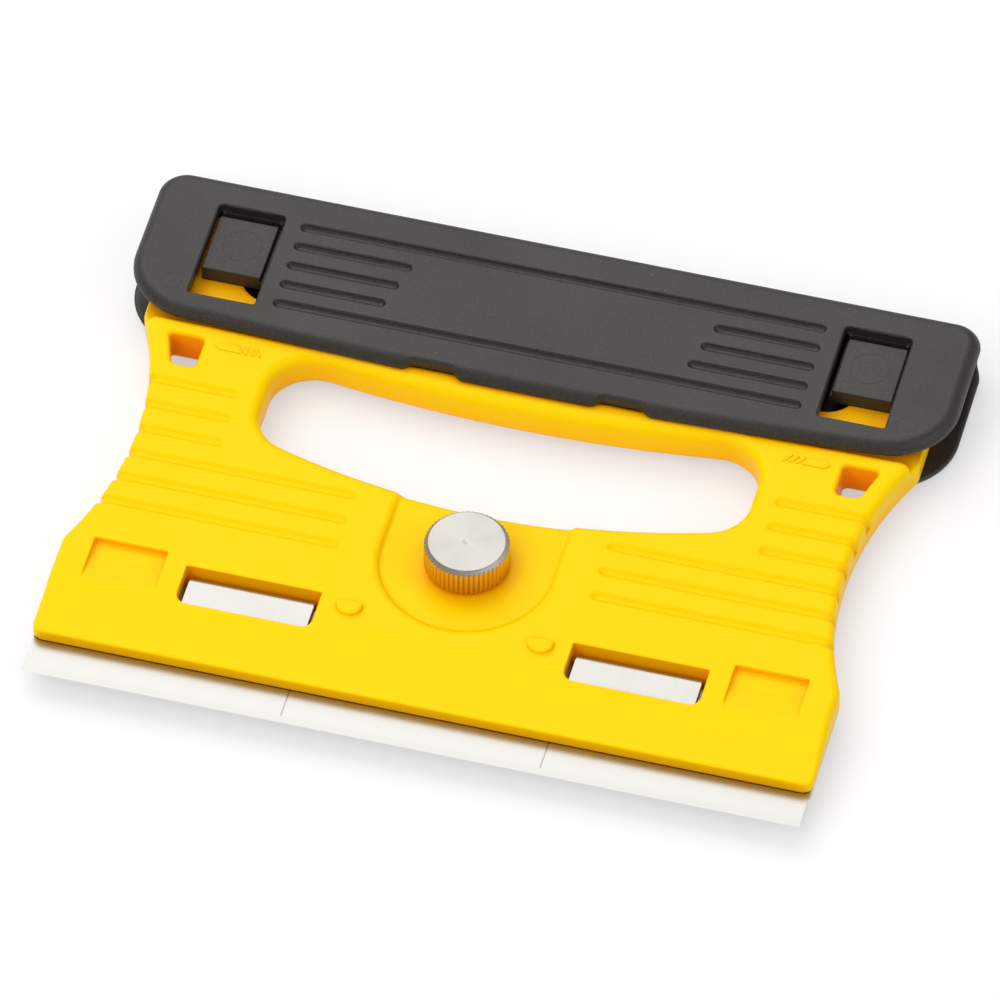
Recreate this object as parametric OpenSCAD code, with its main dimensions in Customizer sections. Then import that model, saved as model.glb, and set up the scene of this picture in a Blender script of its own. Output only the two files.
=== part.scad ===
// Wide razor scraper: a moulded yellow body with a four-finger opening, a long blade held between the
// body and a steel plate by one knurled thumb screw, and a black blade cover stowed on the handle.
// In the drawing, y runs from the cutting edge towards the handle and z = 0 is the blade's front face.
// The finished part lies on its back, with its origin under the middle of its box.

/* [Blade] */
// Length of the blade along its cutting edge
blade_w = 120; // [100:1:150]
// Height of the blade from its cutting edge to its back
blade_l = 16; // [13:0.1:16.5]
// Thickness of the blade
blade_t = 0.4; // [0.3:0.05:0.6]
// How far the blade stands out of the body's lip
edge_out = 6.3; // [4:0.1:8]
// Height of the ground bevel at the cutting edge
grind_l = 1.2; // [0.6:0.1:2]
// Number of snap-off lengths that the score lines mark
blade_lengths = 3; // [2:1:6]
// Width of a score line
score_w = 0.25; // [0.1:0.05:0.4]
// Depth of a score line
score_d = 0.1; // [0.05:0.01:0.15]

/* [Body] */
// How far the body's ends stand past the blade's ends
end_lap = 0.3; // [0.1:0.05:0.8]
// Height of the lip above the blade
lip_h = 1.4; // [1.3:0.1:2]
// Height of the front face above the blade
face_h = 4; // [3.6:0.1:5]
// Length of the sloping front, from the lip to the crease
slope_l = 11.1; // [9:0.1:12]
// Width at the waist
waist_w = 110.8; // [106:0.2:116]
// Distance from the lip to the waist
waist_y = 40.7; // [39:0.1:42]
// Radius of the hollow sides
side_r = 56; // [50:1:64]
// Radius where the straight ends turn into the hollow sides
corner_r = 4; // [2:0.5:8]
// Rounding of the front edges
edge_r = 1.2; // [0.8:0.1:1.2]
// Rounding of the lip's front edge
lip_edge_r = 0.5; // [0.3:0.1:0.8]
// Rounding of the rear edges
back_edge_r = 0.8; // [0.4:0.1:1]
// Distance from the lip to the shoulder where the cover's rail starts
shoulder_y = 64.6; // [64:0.1:67]
// Rounding of the shoulder
shoulder_r = 1.6; // [0.8:0.1:1.7]

/* [Rail under the cover] */
// Overall width of the rail
rail_w = 122; // [118:0.5:124]
// Height from the shoulder to the rail's upper edge between the ears
rail_l = 7.9; // [6:0.1:9]
// How far the rail's front lies below the body's front face
rail_drop = 1.8; // [1.7:0.1:2.2]
// Height from the shoulder to the top of the ears
ear_l = 23.1; // [21:0.1:25]
// Width of an ear
ear_w = 12.5; // [11:0.5:15]
// Radius of the hollow between an ear and the rail
ear_fillet_r = 5; // [3:0.5:6]
// Rounding of the ears' upper corners
ear_corner_r = 3; // [2:0.5:4]
// Distance from the shoulder to the guide groove in the rear face
guide_y = 1.4; // [1:0.1:2]
// Width of the guide groove
guide_w = 1.8; // [1.4:0.1:2.2]
// Depth of the guide groove
guide_d = 0.6; // [0.4:0.1:0.8]

/* [Finger opening] */
// Width of the opening
opening_w = 76.6; // [70:0.2:80]
// Distance from the lip to the middle of the opening's lower edge
opening_low = 38.8; // [38:0.1:40]
// How much higher the lower edge is at its ends than in the middle
opening_low_bow = 4.3; // [3:0.1:5]
// Distance from the lip to the middle of the opening's upper edge
opening_high = 59.8; // [58:0.1:60.2]
// How much higher the upper edge is at its ends than in the middle
opening_high_bow = 2.1; // [1:0.1:2.6]
// Corner radius of the opening
opening_corner_r = 7; // [5:0.5:8]
// Rounding of the opening's front edge
opening_front_r = 1.8; // [1:0.1:2]
// Rounding of the opening's rear edge
opening_back_r = 1.2; // [0.6:0.1:1.5]

/* [Windows pockets and nubs] */
// Distance from the middle to a clamp window's inner side
window_in = 19.5; // [18:0.1:21]
// Width of a clamp window
window_w = 21; // [16:0.2:22]
// Distance from the lip to a clamp window's upper side
window_top = 16.6; // [15:0.1:17.5]
// Height of a clamp window
window_l = 6.9; // [5:0.1:8]
// Radius of a clamp window's lower corners
window_r = 1.5; // [0.5:0.1:2]
// Distance from the middle to a cover pocket's inner side
pocket_in = 44; // [43:0.1:45]
// Width of a cover pocket
pocket_w = 11.4; // [9:0.1:12]
// Distance from the lip to a cover pocket's upper side
pocket_top = 18.5; // [17.5:0.1:19.5]
// Depth of a cover pocket at its upper side
pocket_d = 1.4; // [0.8:0.1:2]
// Length of a cover pocket's level floor
pocket_flat = 3; // [2:0.1:4]
// How far a cover pocket's ramp runs out past the crease
pocket_past = 0.8; // [0.4:0.1:1.5]
// Distance from the middle to a nub
nub_x = 14.8; // [14:0.1:16]
// Distance from the lip to a nub's flat side
nub_y = 15.4; // [14:0.1:16]
// Radius of a nub
nub_r = 1.9; // [1:0.1:2.2]
// Height of a nub
nub_h = 0.8; // [0.4:0.1:1.2]

/* [Grip grooves] */
// Number of long grooves on each side, below the opening
long_grooves = 3; // [1:1:3]
// Number of short grooves on each side, beside the opening
short_grooves = 3; // [1:1:4]
// Distance from the lip to the first groove
groove_y = 26.3; // [26:0.1:27]
// Spacing of the grooves
groove_pitch = 5.04; // [4.6:0.02:5.1]
// Width of a groove
groove_w = 1.5; // [1:0.1:2]
// Depth of a groove
groove_d = 0.45; // [0.2:0.05:0.6]
// Distance from the middle to the long grooves' inner ends
groove_long_in = 19.7; // [18:0.1:22]
// Distance from the middle to the short grooves' inner ends
groove_short_in = 42; // [41:0.1:45]
// Depth of the notch that each groove cuts in the side
notch_d = 0.6; // [0.3:0.1:0.9]

/* [Hanging holes] */
// Distance from the middle to a hanging hole's inner side
hang_in = 50.2; // [49.5:0.1:51]
// Distance from the lip to a hanging hole's lower side
hang_low = 55.4; // [55:0.1:57]
// Height of a hanging hole
hang_l = 6; // [4:0.1:6.4]
// Width of a hanging hole at its lower side
hang_low_w = 3.7; // [2.5:0.1:4]
// Width of a hanging hole at its upper side
hang_high_w = 5.6; // [3.5:0.1:6]
// Corner radius of a hanging hole
hang_r = 0.9; // [0.5:0.1:1.2]
// Rounding of a hanging hole's edges
hang_edge_r = 0.7; // [0.3:0.1:0.9]

/* [Clamp plate and thumb screw] */
// Thickness of the clamp plate
plate_t = 1.2; // [1:0.1:1.6]
// How far the clamp plate lies inside the body's rear face
plate_sink = 0.3; // [0.1:0.1:0.6]
// How far the clamp plate's front edge is set back from the body's lip
plate_back = 0.5; // [0.2:0.1:1.5]
// Distance from the lip to the clamp plate's upper side beside the tab
plate_l = 18.7; // [17.8:0.1:19.5]
// Width of the clamp plate's tab
tab_w = 30; // [24:0.5:34]
// Distance from the screw to the tab's upper side
tab_l = 7.2; // [6.5:0.1:8]
// Corner radius of the clamp plate
plate_r = 2; // [1:0.1:3]
// How far the top of a blade stop lies below the body's front face
stop_drop = 1.4; // [1:0.1:2]
// Inner bend radius of a blade stop
stop_r = 0.3; // [0.2:0.1:0.6]
// Gap between a blade stop and the ends of its window
stop_end_gap = 0.7; // [0.4:0.1:1.2]
// Gap between a blade stop and the upper side of its window
stop_gap = 0.4; // [0.3:0.1:0.7]
// Distance from the lip to the thumb screw
screw_y = 27.9; // [27.5:0.1:28.5]
// Diameter of the thumb screw's shank
screw_d = 5; // [4:0.5:6]
// Diameter of the thumb screw's head
head_d = 13; // [11:0.2:15]
// Height of the thumb screw's head
head_h = 5.2; // [4:0.1:7]
// Chamfer of the thumb screw's head
head_chamfer = 0.6; // [0.3:0.1:1]
// Number of knurl teeth
knurl_n = 52; // [30:2:64]
// Depth of the knurl
knurl_d = 0.35; // [0.2:0.05:0.5]
// Radius of the turned dimple in the head
dimple_r = 0.8; // [0.4:0.1:1.5]
// Depth of the turned dimple in the head
dimple_d = 0.2; // [0.1:0.05:0.4]
// Height of the boss under the head
head_boss_h = 0.3; // [0.2:0.1:1]
// Radius of the shallow recess round the thumb screw
recess_r = 13.8; // [12:0.1:14]
// Depth of the recess round the thumb screw
recess_d = 0.8; // [0.4:0.1:1]
// How far the recess's wall leans out from its floor to the face
recess_run = 0.7; // [0.3:0.1:1]
// Wall of the threaded bush round the screw
bush_wall = 1.6; // [1:0.1:2]
// Height of the threaded bush above the clamp plate
bush_h = 1.7; // [1.2:0.1:2]
// Wall of the bush where it is pressed into the plate
bush_neck_wall = 0.9; // [0.6:0.1:1]

/* [Cover] */
// Length of the cover
cover_w = 130; // [126:0.5:136]
// Wall of the cover
cover_wall = 2.1; // [1.8:0.1:2.6]
// How far the cover's lip laps over the shoulder near its ends
cover_lap = 0.7; // [0.5:0.1:1]
// How much further the lip laps in the middle
cover_bow = 1.7; // [0.5:0.1:1.8]
// Corner radius at the lip
cover_low_r = 11; // [8:0.5:12]
// Corner radius at the spine
cover_top_r = 4.5; // [4:0.5:7]
// Rounding of the cover's outer edges
cover_edge_r = 2.1; // [1.5:0.1:2.1]
// Room between the ears and the spine
spine_gap = 2.6; // [2:0.1:4]
// Distance from the middle to a cover window's inner side
cover_window_in = 44.2; // [43.5:0.1:45]
// Width of a cover window
cover_window_w = 10.6; // [10:0.1:11]
// Distance from the shoulder to a cover window's lower side
cover_window_y = 3.4; // [3:0.1:4]
// Height of a cover window
cover_window_l = 18.7; // [18:0.1:19.5]
// Radius of a cover window's upper corners
cover_window_r = 0.7; // [0.5:0.1:2]
// Width of a grip tongue
tongue_w = 9.8; // [8:0.1:9.9]
// Length of a grip tongue
tongue_l = 11.5; // [9:0.1:12]
// Thickness of a grip tongue with its pad
tongue_t = 2.6; // [2:0.1:3]
// Height of the raised pad on a grip tongue
pad_h = 1.2; // [0.9:0.1:1.4]
// How far the pad is set in from the tongue's sides and root
pad_in = 0.45; // [0.3:0.05:0.8]
// Rounding of the pad's edges
pad_r = 0.2; // [0.1:0.05:0.3]
// How far the tongue's root shows in the window
root_show = 0.5; // [0.3:0.1:1]
// How far the root's ledge lies below the pad's face
root_drop = 0.2; // [0.1:0.1:0.8]
// Distance from the spine's outer face to the first rib groove
rib_y = 7.2; // [6.5:0.1:8]
// Spacing of the rib grooves
rib_pitch = 4; // [3.6:0.1:4.2]
// Width of a rib groove
rib_w = 1.4; // [1:0.1:1.8]
// Depth of a rib groove
rib_d = 0.5; // [0.3:0.1:0.7]
// Distance from the middle to the rib grooves' outer ends
rib_out = 41.2; // [38:0.1:42]
// Distance from the middle to the short rib grooves' inner ends
rib_in = 24; // [20:0.1:28]
// How far each short rib groove is shifted past the one above it
rib_lean = 0.95; // [0:0.05:1.5]
// Distance from the middle to a lip notch's inner end
lip_notch_in = 11.7; // [10:0.1:13]
// Width of a lip notch
lip_notch_w = 6.4; // [4:0.1:8]
// Depth of a lip notch
lip_notch_d = 1.3; // [0.6:0.1:1.8]

/* [Fits] */
// Running gap on each side of the blade
blade_fit = 0.05; // [0.03:0.01:0.1]
// Gap round the clamp plate, and other gaps between pieces that move
clear = 0.3; // [0.2:0.05:0.4]
// Running gap of the cover on the rail
cover_fit = 0.1; // [0.08:0.02:0.2]
// Radial gap of the screw in its thread
thread_fit = 0.05; // [0.03:0.01:0.1]
// Radial gap of the screw in the body
screw_fit = 0.3; // [0.2:0.05:0.5]

/* [Hidden] */
$fn = 64;
yellow = [1, 0.85, 0.02];
black = [0.22, 0.21, 0.19];
steel = [0.85, 0.85, 0.83];
brass = [0.8, 0.66, 0.35];
over = 1;                // how far a cutter reaches past what it cuts
stock_blade_w = 120;     // length of the blade that the widths above are given for
fillet_steps = 4;        // facets in a rounded edge
arc_sag = 0.02;          // how far an outline's chords may lie inside its arcs

// Heights along z, from the blade's front face
plate_front = -blade_t - 2 * blade_fit;
plate_rear = plate_front - plate_t;
back_z = plate_rear - plate_sink;
rail_front = face_h - rail_drop;
cover_inner_front = face_h + cover_fit;
cover_inner_rear = back_z - cover_fit;
cover_front = cover_inner_front + cover_wall;
cover_rear = cover_inner_rear - cover_wall;
recess_z = face_h - recess_d;
parting_z = (face_h + back_z) / 2;
stop_top = face_h - stop_drop;
tongue_rear = rail_front + cover_fit;
tongue_front = tongue_rear + tongue_t;

// Distances along y, from the cutting edge
lip = edge_out;
crease = lip + slope_l;
waist = lip + waist_y;
shoulder = lip + shoulder_y;
rail_top = shoulder + rail_l;
ear_top = shoulder + ear_l;
spine_inner = ear_top + spine_gap;
spine_outer = spine_inner + cover_wall;
cover_lip = shoulder - cover_lap;
screw = lip + screw_y;
plate_top = lip + plate_l;
window_high = lip + window_top;
window_low = window_high - window_l;
stop_low = max(blade_l, window_low) + clear;
stop_high = window_high - stop_gap;
groove_first = lip + groove_y;
hang_floor = lip + hang_low;
cover_window_low = shoulder + cover_window_y;
cover_window_top = cover_window_low + cover_window_l;
root_end = cover_window_top - root_show;
tongue_end = root_end - clear;

// Half widths and places along x. With a longer blade, the ends move out and take what lies near them along.
grown = (blade_w - stock_blade_w) / 2;
body_hw = blade_w / 2 + end_lap;
rail_hw = rail_w / 2 + grown;
cover_hw = cover_w / 2 + grown;
opening_hw = opening_w / 2 + grown;
side_centre = [waist_w / 2 + grown + side_r, waist];
window_out = window_in + window_w + grown;
pocket_x = pocket_in + grown;
hang_x = hang_in + grown;
groove_short_x = groove_short_in + grown;
cover_window_x = cover_window_in + grown;
rib_end = rib_out + grown;
tongue_in = cover_window_x + (cover_window_w - tongue_w) / 2;

// Half width of the body's hollow side at a height y
function side_x(y) = side_centre.x - sqrt(side_r * side_r - (y - waist) * (y - waist));

// Points of an arc from angle a0 to a1, in equal steps that keep its chords close to it
function arc(centre, r, a0, a1) =
    let (n = max(1, ceil(abs(a1 - a0) / (2 * acos(1 - arc_sag / r)))))
    [for (i = [0:n]) centre + r * [cos(a0 + (a1 - a0) * i / n), sin(a0 + (a1 - a0) * i / n)]];

function mirrored(path) = [for (i = [len(path) - 1:-1:0]) [-path[i].x, path[i].y]];

// A closed anticlockwise outline with each point moved inwards by its own value in d
function inset_by(path, d) =
    let (n = len(path))
    [for (i = [0:n - 1])
        let (before = path[i] - path[(i + n - 1) % n],
             after = path[(i + 1) % n] - path[i],
             a = [-before.y, before.x] / norm(before),
             b = [-after.y, after.x] / norm(after))
        path[i] + (a + b) * d[i] / (1 + a * b)];

function inset(path, d) = inset_by(path, [for (p = path) d]);

// Centre of the fillet of radius r between the line x = edge_x and a hollow side, below or above the waist
function fillet_centre(edge_x, r, way) =
    let (dx = side_centre.x - edge_x + r)
    [edge_x - r, waist + way * sqrt(pow(side_r + r, 2) - dx * dx)];

// Right-hand outline of the body, from the crease up over the ear to the middle of the rail
body_right =
    let (low = fillet_centre(body_hw, corner_r, -1),
         high = fillet_centre(rail_hw, ear_corner_r, 1),
         low_turn = atan2(waist - low.y, side_centre.x - low.x),
         high_turn = atan2(high.y - waist, side_centre.x - high.x),
         ear_in = rail_hw - ear_w)
    concat(
        [[body_hw, crease]],
        arc(low, corner_r, 0, low_turn),
        [for (p = arc(side_centre, side_r, 180 + low_turn, 180 - high_turn)) p],
        arc(high, ear_corner_r, -high_turn, 0),
        arc([rail_hw - ear_corner_r, ear_top - ear_corner_r], ear_corner_r, 0, 90),
        arc([ear_in + ear_corner_r, ear_top - ear_corner_r], ear_corner_r, 90, 180),
        arc([ear_in - ear_fillet_r, rail_top + ear_fillet_r], ear_fillet_r, 0, -90));

// Whole outline of the body: up the right side, down the left side, then along the lip
lip_corner_r = edge_r + 0.4;
body_right_points = [for (i = [0:len(body_right) - 1])
    if (i == 0 || norm(body_right[i] - body_right[i - 1]) > 0.01) body_right[i]];
body_path = concat(
    body_right_points,
    mirrored(body_right_points),
    arc([-body_hw + lip_corner_r, lip + lip_corner_r], lip_corner_r, 180, 270),
    arc([body_hw - lip_corner_r, lip + lip_corner_r], lip_corner_r, 270, 360));

// Front surface of the body at a height y: sloping up to the crease, then level
function front_z(y) = y < crease ? lip_h + (y - lip) * (face_h - lip_h) / slope_l : face_h;

// Outline of the finger opening, moved outwards by grow
function opening_path(grow) =
    let (r = opening_corner_r,
         cx = opening_hw - r,
         low_k = opening_low_bow / (cx * cx),
         high_k = opening_high_bow / (cx * cx),
         low_turn = atan(2 * low_k * cx),
         high_turn = atan(2 * high_k * cx),
         low_y = lip + opening_low,
         high_y = lip + opening_high,
         low_end = cx + r * sin(low_turn),
         high_end = cx - r * sin(high_turn),
         low_c = [cx, low_y + low_k * low_end * low_end + r * cos(low_turn)],
         high_c = [cx, high_y + high_k * high_end * high_end - r * cos(high_turn)],
         n = 12,
         right = concat(arc(low_c, r, low_turn - 90, 0), arc(high_c, r, 0, 90 + high_turn)),
         top = [for (i = [1:n - 1]) let (x = high_end * (1 - 2 * i / n)) [x, high_y + high_k * x * x]],
         bottom = [for (i = [1:n - 1]) let (x = low_end * (2 * i / n - 1)) [x, low_y + low_k * x * x]])
    inset(concat(right, top, mirrored(right), bottom), -grow);

// Outline of a right-hand hanging hole, moved outwards by grow
function hang_path(grow) =
    let (corners = [[hang_x, hang_floor], [hang_x + hang_low_w, hang_floor],
                    [hang_x + hang_high_w, hang_floor + hang_l], [hang_x, hang_floor + hang_l]],
         centres = inset(corners, hang_r),
         lean = atan2(hang_high_w - hang_low_w, hang_l),
         turns = [[180, 270], [270, 360 - lean], [-lean, 90], [90, 180]])
    inset([for (k = [0:3]) each arc(centres[k], hang_r, turns[k][0], turns[k][1])], -grow);

// The same face turned over, starting at the same point
function turned(face) = concat([face[0]], [for (i = [len(face) - 1:-1:1]) face[i]]);

// A solid through a stack of rings with the same number of points. Its ends are closed by flat faces, each
// an anticlockwise list of points that can all be seen from the first one.
module loft(rings, ends = []) {
    n = len(rings[0]);
    last = (len(rings) - 1) * n;
    points = [for (ring = rings) each ring];
    bottom = len(ends) > 0 ? ends : [[for (i = [0:n - 1]) i]];
    top = [for (face = bottom) [for (i = turned(face)) last + i]];
    sides = [for (k = [0:len(rings) - 2]) for (i = [0:n - 1])
        let (j = (i + 1) % n, a = k * n + i, b = k * n + j, c = b + n, d = a + n)
        each [[a, d, c], [a, c, b]]];
    polyhedron(points, concat(bottom, sides, top));
}

function ring(path, z) = [for (p = path) [p.x, p.y, z]];

// A hole through z0 to z1 whose edges open out in rounds: path_at(grow) gives its outline
module flared_hole(path_at, z0, r0, z1, r1) {
    steps = fillet_steps;
    flare0 = [for (i = [0:steps]) let (a = 90 * i / steps) [r0 * (1 - sin(a)), z0 + r0 * (1 - cos(a))]];
    flare1 = [for (i = [0:steps]) let (a = 90 * i / steps) [r1 * (1 - cos(a)), z1 - r1 * (1 - sin(a))]];
    stations = concat([[r0, z0 - over]], flare0, flare1, [[r1, z1 + over]]);
    loft([for (s = stations) ring(path_at(s[0]), s[1])]);
}

// A profile drawn in y and z, run along x from x0 to x1
module along_x(x0, x1) {
    translate([x0, 0, 0]) rotate([90, 0, 90]) linear_extrude(x1 - x0) children();
}

module both_sides() {
    children();
    mirror([1, 0, 0]) children();
}

// A round-bottomed groove along x in a face at height z, with round ends
module face_groove(x0, x1, y, z, w, d) {
    r = w * w / (8 * d) + d / 2;
    for (x = [x0, x1]) translate([x, y, z + r - d]) rotate([0, 90, 0]) sphere(r);
    translate([x0, y, z + r - d]) rotate([0, 90, 0]) cylinder(r = r, h = x1 - x0);
}

// The tool's own frame: the origin lies under the middle of its box
module seated() {
    translate([0, -spine_outer / 2, -cover_rear]) children();
}

// The body moulding

// Rounding of the front edge at a height y: small at the lip, full from the crease on
function front_r(y) = lip_edge_r + (edge_r - lip_edge_r) * max(0, min(1, (y - lip) / slope_l));

module body_blank() {
    n = len(body_path);
    half = len(body_right_points);
    m = 2 * half - 1;
    ear_from = [for (i = [0:half - 1]) if (body_path[i].x > rail_hw - 0.001) i][0];
    ear_to = m - ear_from;
    rear = [for (i = [0:fillet_steps - 1]) let (a = 90 * i / (fillet_steps - 1))
        [back_edge_r * (1 - sin(a)), back_z + back_edge_r * (1 - cos(a))]];
    edge = [for (p = body_path) front_r(p.y)];
    front = [for (i = [0:fillet_steps]) let (a = 90 * i / fillet_steps) [1 - cos(a), 1 - sin(a)]];
    rear_rings = [for (s = rear) ring(inset(body_path, s[0]), s[1])];
    front_rings = [for (s = front)
        let (path = inset_by(body_path, edge * s[0]))
        [for (i = [0:n - 1]) [path[i].x, path[i].y, front_z(path[i].y) - edge[i] * s[1]]]];
    strips = [for (i = [0:ear_from - 1]) [i, i + 1, m - i - 1, m - i]];
    rail = [ear_from, half - 1, half, ear_to];
    slope = concat([for (i = [m:n - 1]) i], [0]);
    right_ear = [for (i = [ear_from:half - 1]) i];
    left_ear = concat([ear_to], [for (i = [half:ear_to - 1]) i]);
    loft(concat(rear_rings, front_rings), concat(strips, [rail, slope, right_ear, left_ear]));
}

// Takes the rail's front down below the front face, past the round shoulder
module rail_cut() {
    far = spine_outer + over;
    shoulder_points = arc([shoulder - shoulder_r, face_h - shoulder_r], shoulder_r, 85, 0);
    along_x(-cover_hw, cover_hw) polygon(concat(
        [[far, rail_front], [far, face_h + over], [shoulder - shoulder_r, face_h + over]],
        shoulder_points,
        [[shoulder, rail_front]]));
}

// A window over one of the clamp plate's blade stops
module clamp_window() {
    w = window_out - window_in;
    translate([window_in, window_low, -over]) linear_extrude(face_h + 2 * over) {
        translate([0, window_r]) square([w, window_l - window_r]);
        translate([window_r, 0]) square([w - 2 * window_r, window_l]);
        for (x = [window_r, w - window_r]) translate([x, window_r]) circle(window_r);
    }
}

// A pocket with a level floor under its upper side and a ramp out to the crease
module cover_pocket() {
    top = lip + pocket_top;
    floor_z = face_h - pocket_d;
    ramp = top - pocket_flat;
    out_y = crease - pocket_past;
    rise = (front_z(out_y) - floor_z) / (ramp - out_y);
    along_x(pocket_x, pocket_x + pocket_w) polygon([
        [top, floor_z], [top, face_h + over], [out_y - over, face_h + over],
        [out_y - over, front_z(out_y) + over * rise], [ramp, floor_z]]);
}

module nub() {
    translate([nub_x, lip + nub_y, face_h - over]) intersection() {
        cylinder(r = nub_r, h = nub_h + over);
        translate([-nub_r, -2 * nub_r, 0]) cube([2 * nub_r, 2 * nub_r, nub_h + over]);
    }
}

// A groove in the front face that ends in a notch in the side, above the mould's parting line
module grip_groove(y, inner) {
    edge_x = side_x(y);
    notch_r = groove_w * groove_w / (8 * notch_d) + notch_d / 2;
    face_groove(inner + groove_w / 2, edge_x + over, y, face_h, groove_w, groove_d);
    translate([edge_x + notch_r - notch_d, y, parting_z])
        cylinder(r = notch_r, h = face_h - parting_z + over);
}

module grip_grooves() {
    for (i = [0:long_grooves - 1]) grip_groove(groove_first + i * groove_pitch, groove_long_in);
    for (i = [0:short_grooves - 1])
        grip_groove(groove_first + (long_grooves + i) * groove_pitch, groove_short_x);
}

// Recess round the thumb screw, with a leaning wall, open to the finger opening
module screw_recess() {
    top = lip + opening_low + opening_front_r + recess_run;
    path = concat(arc([0, screw], recess_r, 180, 360), [[recess_r, top], [-recess_r, top]]);
    loft([
        ring(inset(path, recess_run), recess_z),
        ring(inset(path, -recess_run * over / recess_d), face_h + over)]);
}

// Outline of the clamp plate, moved outwards by grow
module plate_outline(grow) {
    low = lip + plate_back - (grow > 0 ? plate_back + over : 0);
    top = plate_top + grow;
    hw = blade_w / 2 + (grow > 0 ? plate_r + over : 0);
    tab_hw = tab_w / 2 + grow;
    tab_top = screw + tab_l + grow;
    r = plate_r + grow;
    translate([-hw, low]) square([2 * hw, top - r - low]);
    translate([-hw + r, low]) square([2 * (hw - r), top - low]);
    for (x = [-hw + r, hw - r]) translate([x, top - r]) circle(r);
    translate([-tab_hw, low]) square([2 * tab_hw, tab_top - r - low]);
    translate([-tab_hw + r, low]) square([2 * (tab_hw - r), tab_top - low]);
    for (x = [-tab_hw + r, tab_hw - r]) translate([x, tab_top - r]) circle(r);
}

// Room for the blade and the clamp plate in the body's rear face
module clamp_room() {
    translate([0, 0, back_z - over]) linear_extrude(plate_front + blade_fit - back_z + over)
        plate_outline(clear);
    blade_top = blade_l + clear;
    translate([-body_hw - over, lip - over, back_z - over])
        cube([2 * (body_hw + over), blade_top - lip + over, blade_fit - back_z + over]);
    translate([0, screw, back_z - over])
        cylinder(d = screw_d + 2 * (bush_wall + clear), h = plate_front + bush_h + clear - back_z + over);
    translate([0, screw, back_z - over])
        cylinder(d = screw_d + 2 * screw_fit, h = face_h - back_z + 2 * over);
}

module guide_groove() {
    translate([-cover_hw, shoulder + guide_y, back_z - over])
        cube([2 * cover_hw, guide_w, guide_d + over]);
}

module handle_body() {
    color(yellow) seated() {
        difference() {
            body_blank();
            flared_hole(function (grow) opening_path(grow), back_z, opening_back_r, face_h, opening_front_r);
            rail_cut();
            screw_recess();
            clamp_room();
            guide_groove();
            both_sides() {
                clamp_window();
                cover_pocket();
                grip_grooves();
                flared_hole(function (grow) hang_path(grow), back_z, hang_edge_r, face_h, hang_edge_r);
            }
        }
        both_sides() nub();
    }
}

// The blade: a flat strip with a ground edge and score lines

module blade() {
    edge_z = -blade_t / 2;
    color(steel) seated() difference() {
        along_x(-blade_w / 2, blade_w / 2) polygon([
            [0, edge_z], [grind_l, -blade_t], [blade_l, -blade_t], [blade_l, 0], [grind_l, 0]]);
        for (i = [1:blade_lengths - 1])
            translate([blade_w * (i / blade_lengths - 0.5) - score_w / 2, grind_l, -score_d])
                cube([score_w, blade_l - grind_l + over, score_d + over]);
    }
}

// The clamp: a steel plate behind the blade, with two blade stops and the threaded bush

bush_neck_d = screw_d + 2 * bush_neck_wall;
stop_x = window_in + stop_end_gap;
stop_w = window_out - stop_end_gap - stop_x;

// A blade stop: a strip of the plate, sheared at its ends and bent up into a bridge behind the blade's back
module blade_stop() {
    outer_r = stop_r + plate_t;
    low = stop_low + plate_t;
    high = stop_high - plate_t;
    bend = stop_top - outer_r;
    along_x(stop_x, stop_x + stop_w) polygon(concat(
        [[low, plate_rear], [stop_low, plate_rear]],
        arc([stop_low + outer_r, bend], outer_r, 180, 90),
        arc([stop_high - outer_r, bend], outer_r, 90, 0),
        [[stop_high, plate_rear], [high, plate_rear]],
        arc([high - stop_r, bend], stop_r, 0, 90),
        arc([low + stop_r, bend], stop_r, 90, 180)));
}

module clamp_plate() {
    color(steel) seated() {
        difference() {
            translate([0, 0, plate_rear]) linear_extrude(plate_t) difference() {
                plate_outline(0);
                both_sides() translate([stop_x, stop_low + plate_t])
                    square([stop_w, stop_high - stop_low - 2 * plate_t]);
            }
            translate([0, screw, plate_rear - over]) cylinder(d = bush_neck_d, h = plate_t + 2 * over);
        }
        both_sides() blade_stop();
    }
}

module threaded_bush() {
    color(brass) seated() translate([0, screw, 0]) difference() {
        union() {
            translate([0, 0, plate_front]) cylinder(d = screw_d + 2 * bush_wall, h = bush_h);
            translate([0, 0, plate_rear]) cylinder(d = bush_neck_d, h = plate_t);
        }
        translate([0, 0, plate_rear - over])
            cylinder(d = screw_d + 2 * thread_fit, h = plate_t + bush_h + 2 * over);
    }
}

// The thumb screw: a knurled head on a boss, and the shank

module thumb_screw() {
    head_r = head_d / 2;
    head_z = recess_z + head_boss_h;
    boss_r = head_r - 2 * head_chamfer;
    knurl = [for (i = [0:2 * knurl_n - 1])
        let (r = head_r - (i % 2) * knurl_d, a = 180 * i / knurl_n) r * [cos(a), sin(a)]];
    color(steel) seated() translate([0, screw, 0]) {
        translate([0, 0, head_z]) intersection() {
            linear_extrude(head_h) polygon(knurl);
            rotate_extrude() polygon([
                [0, 0], [head_r - head_chamfer, 0], [head_r + over, head_chamfer + over],
                [head_r + over, head_h - head_chamfer - over], [head_r - head_chamfer, head_h],
                [dimple_r, head_h], [dimple_r / 2, head_h - dimple_d], [0, head_h - dimple_d]]);
        }
        translate([0, 0, recess_z + blade_fit]) cylinder(r = boss_r, h = head_boss_h);
        translate([0, 0, plate_rear]) cylinder(d = screw_d, h = head_z - plate_rear);
    }
}

// The blade cover: a channel with open ends, windows over its two grip tongues, and grip grooves

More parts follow.
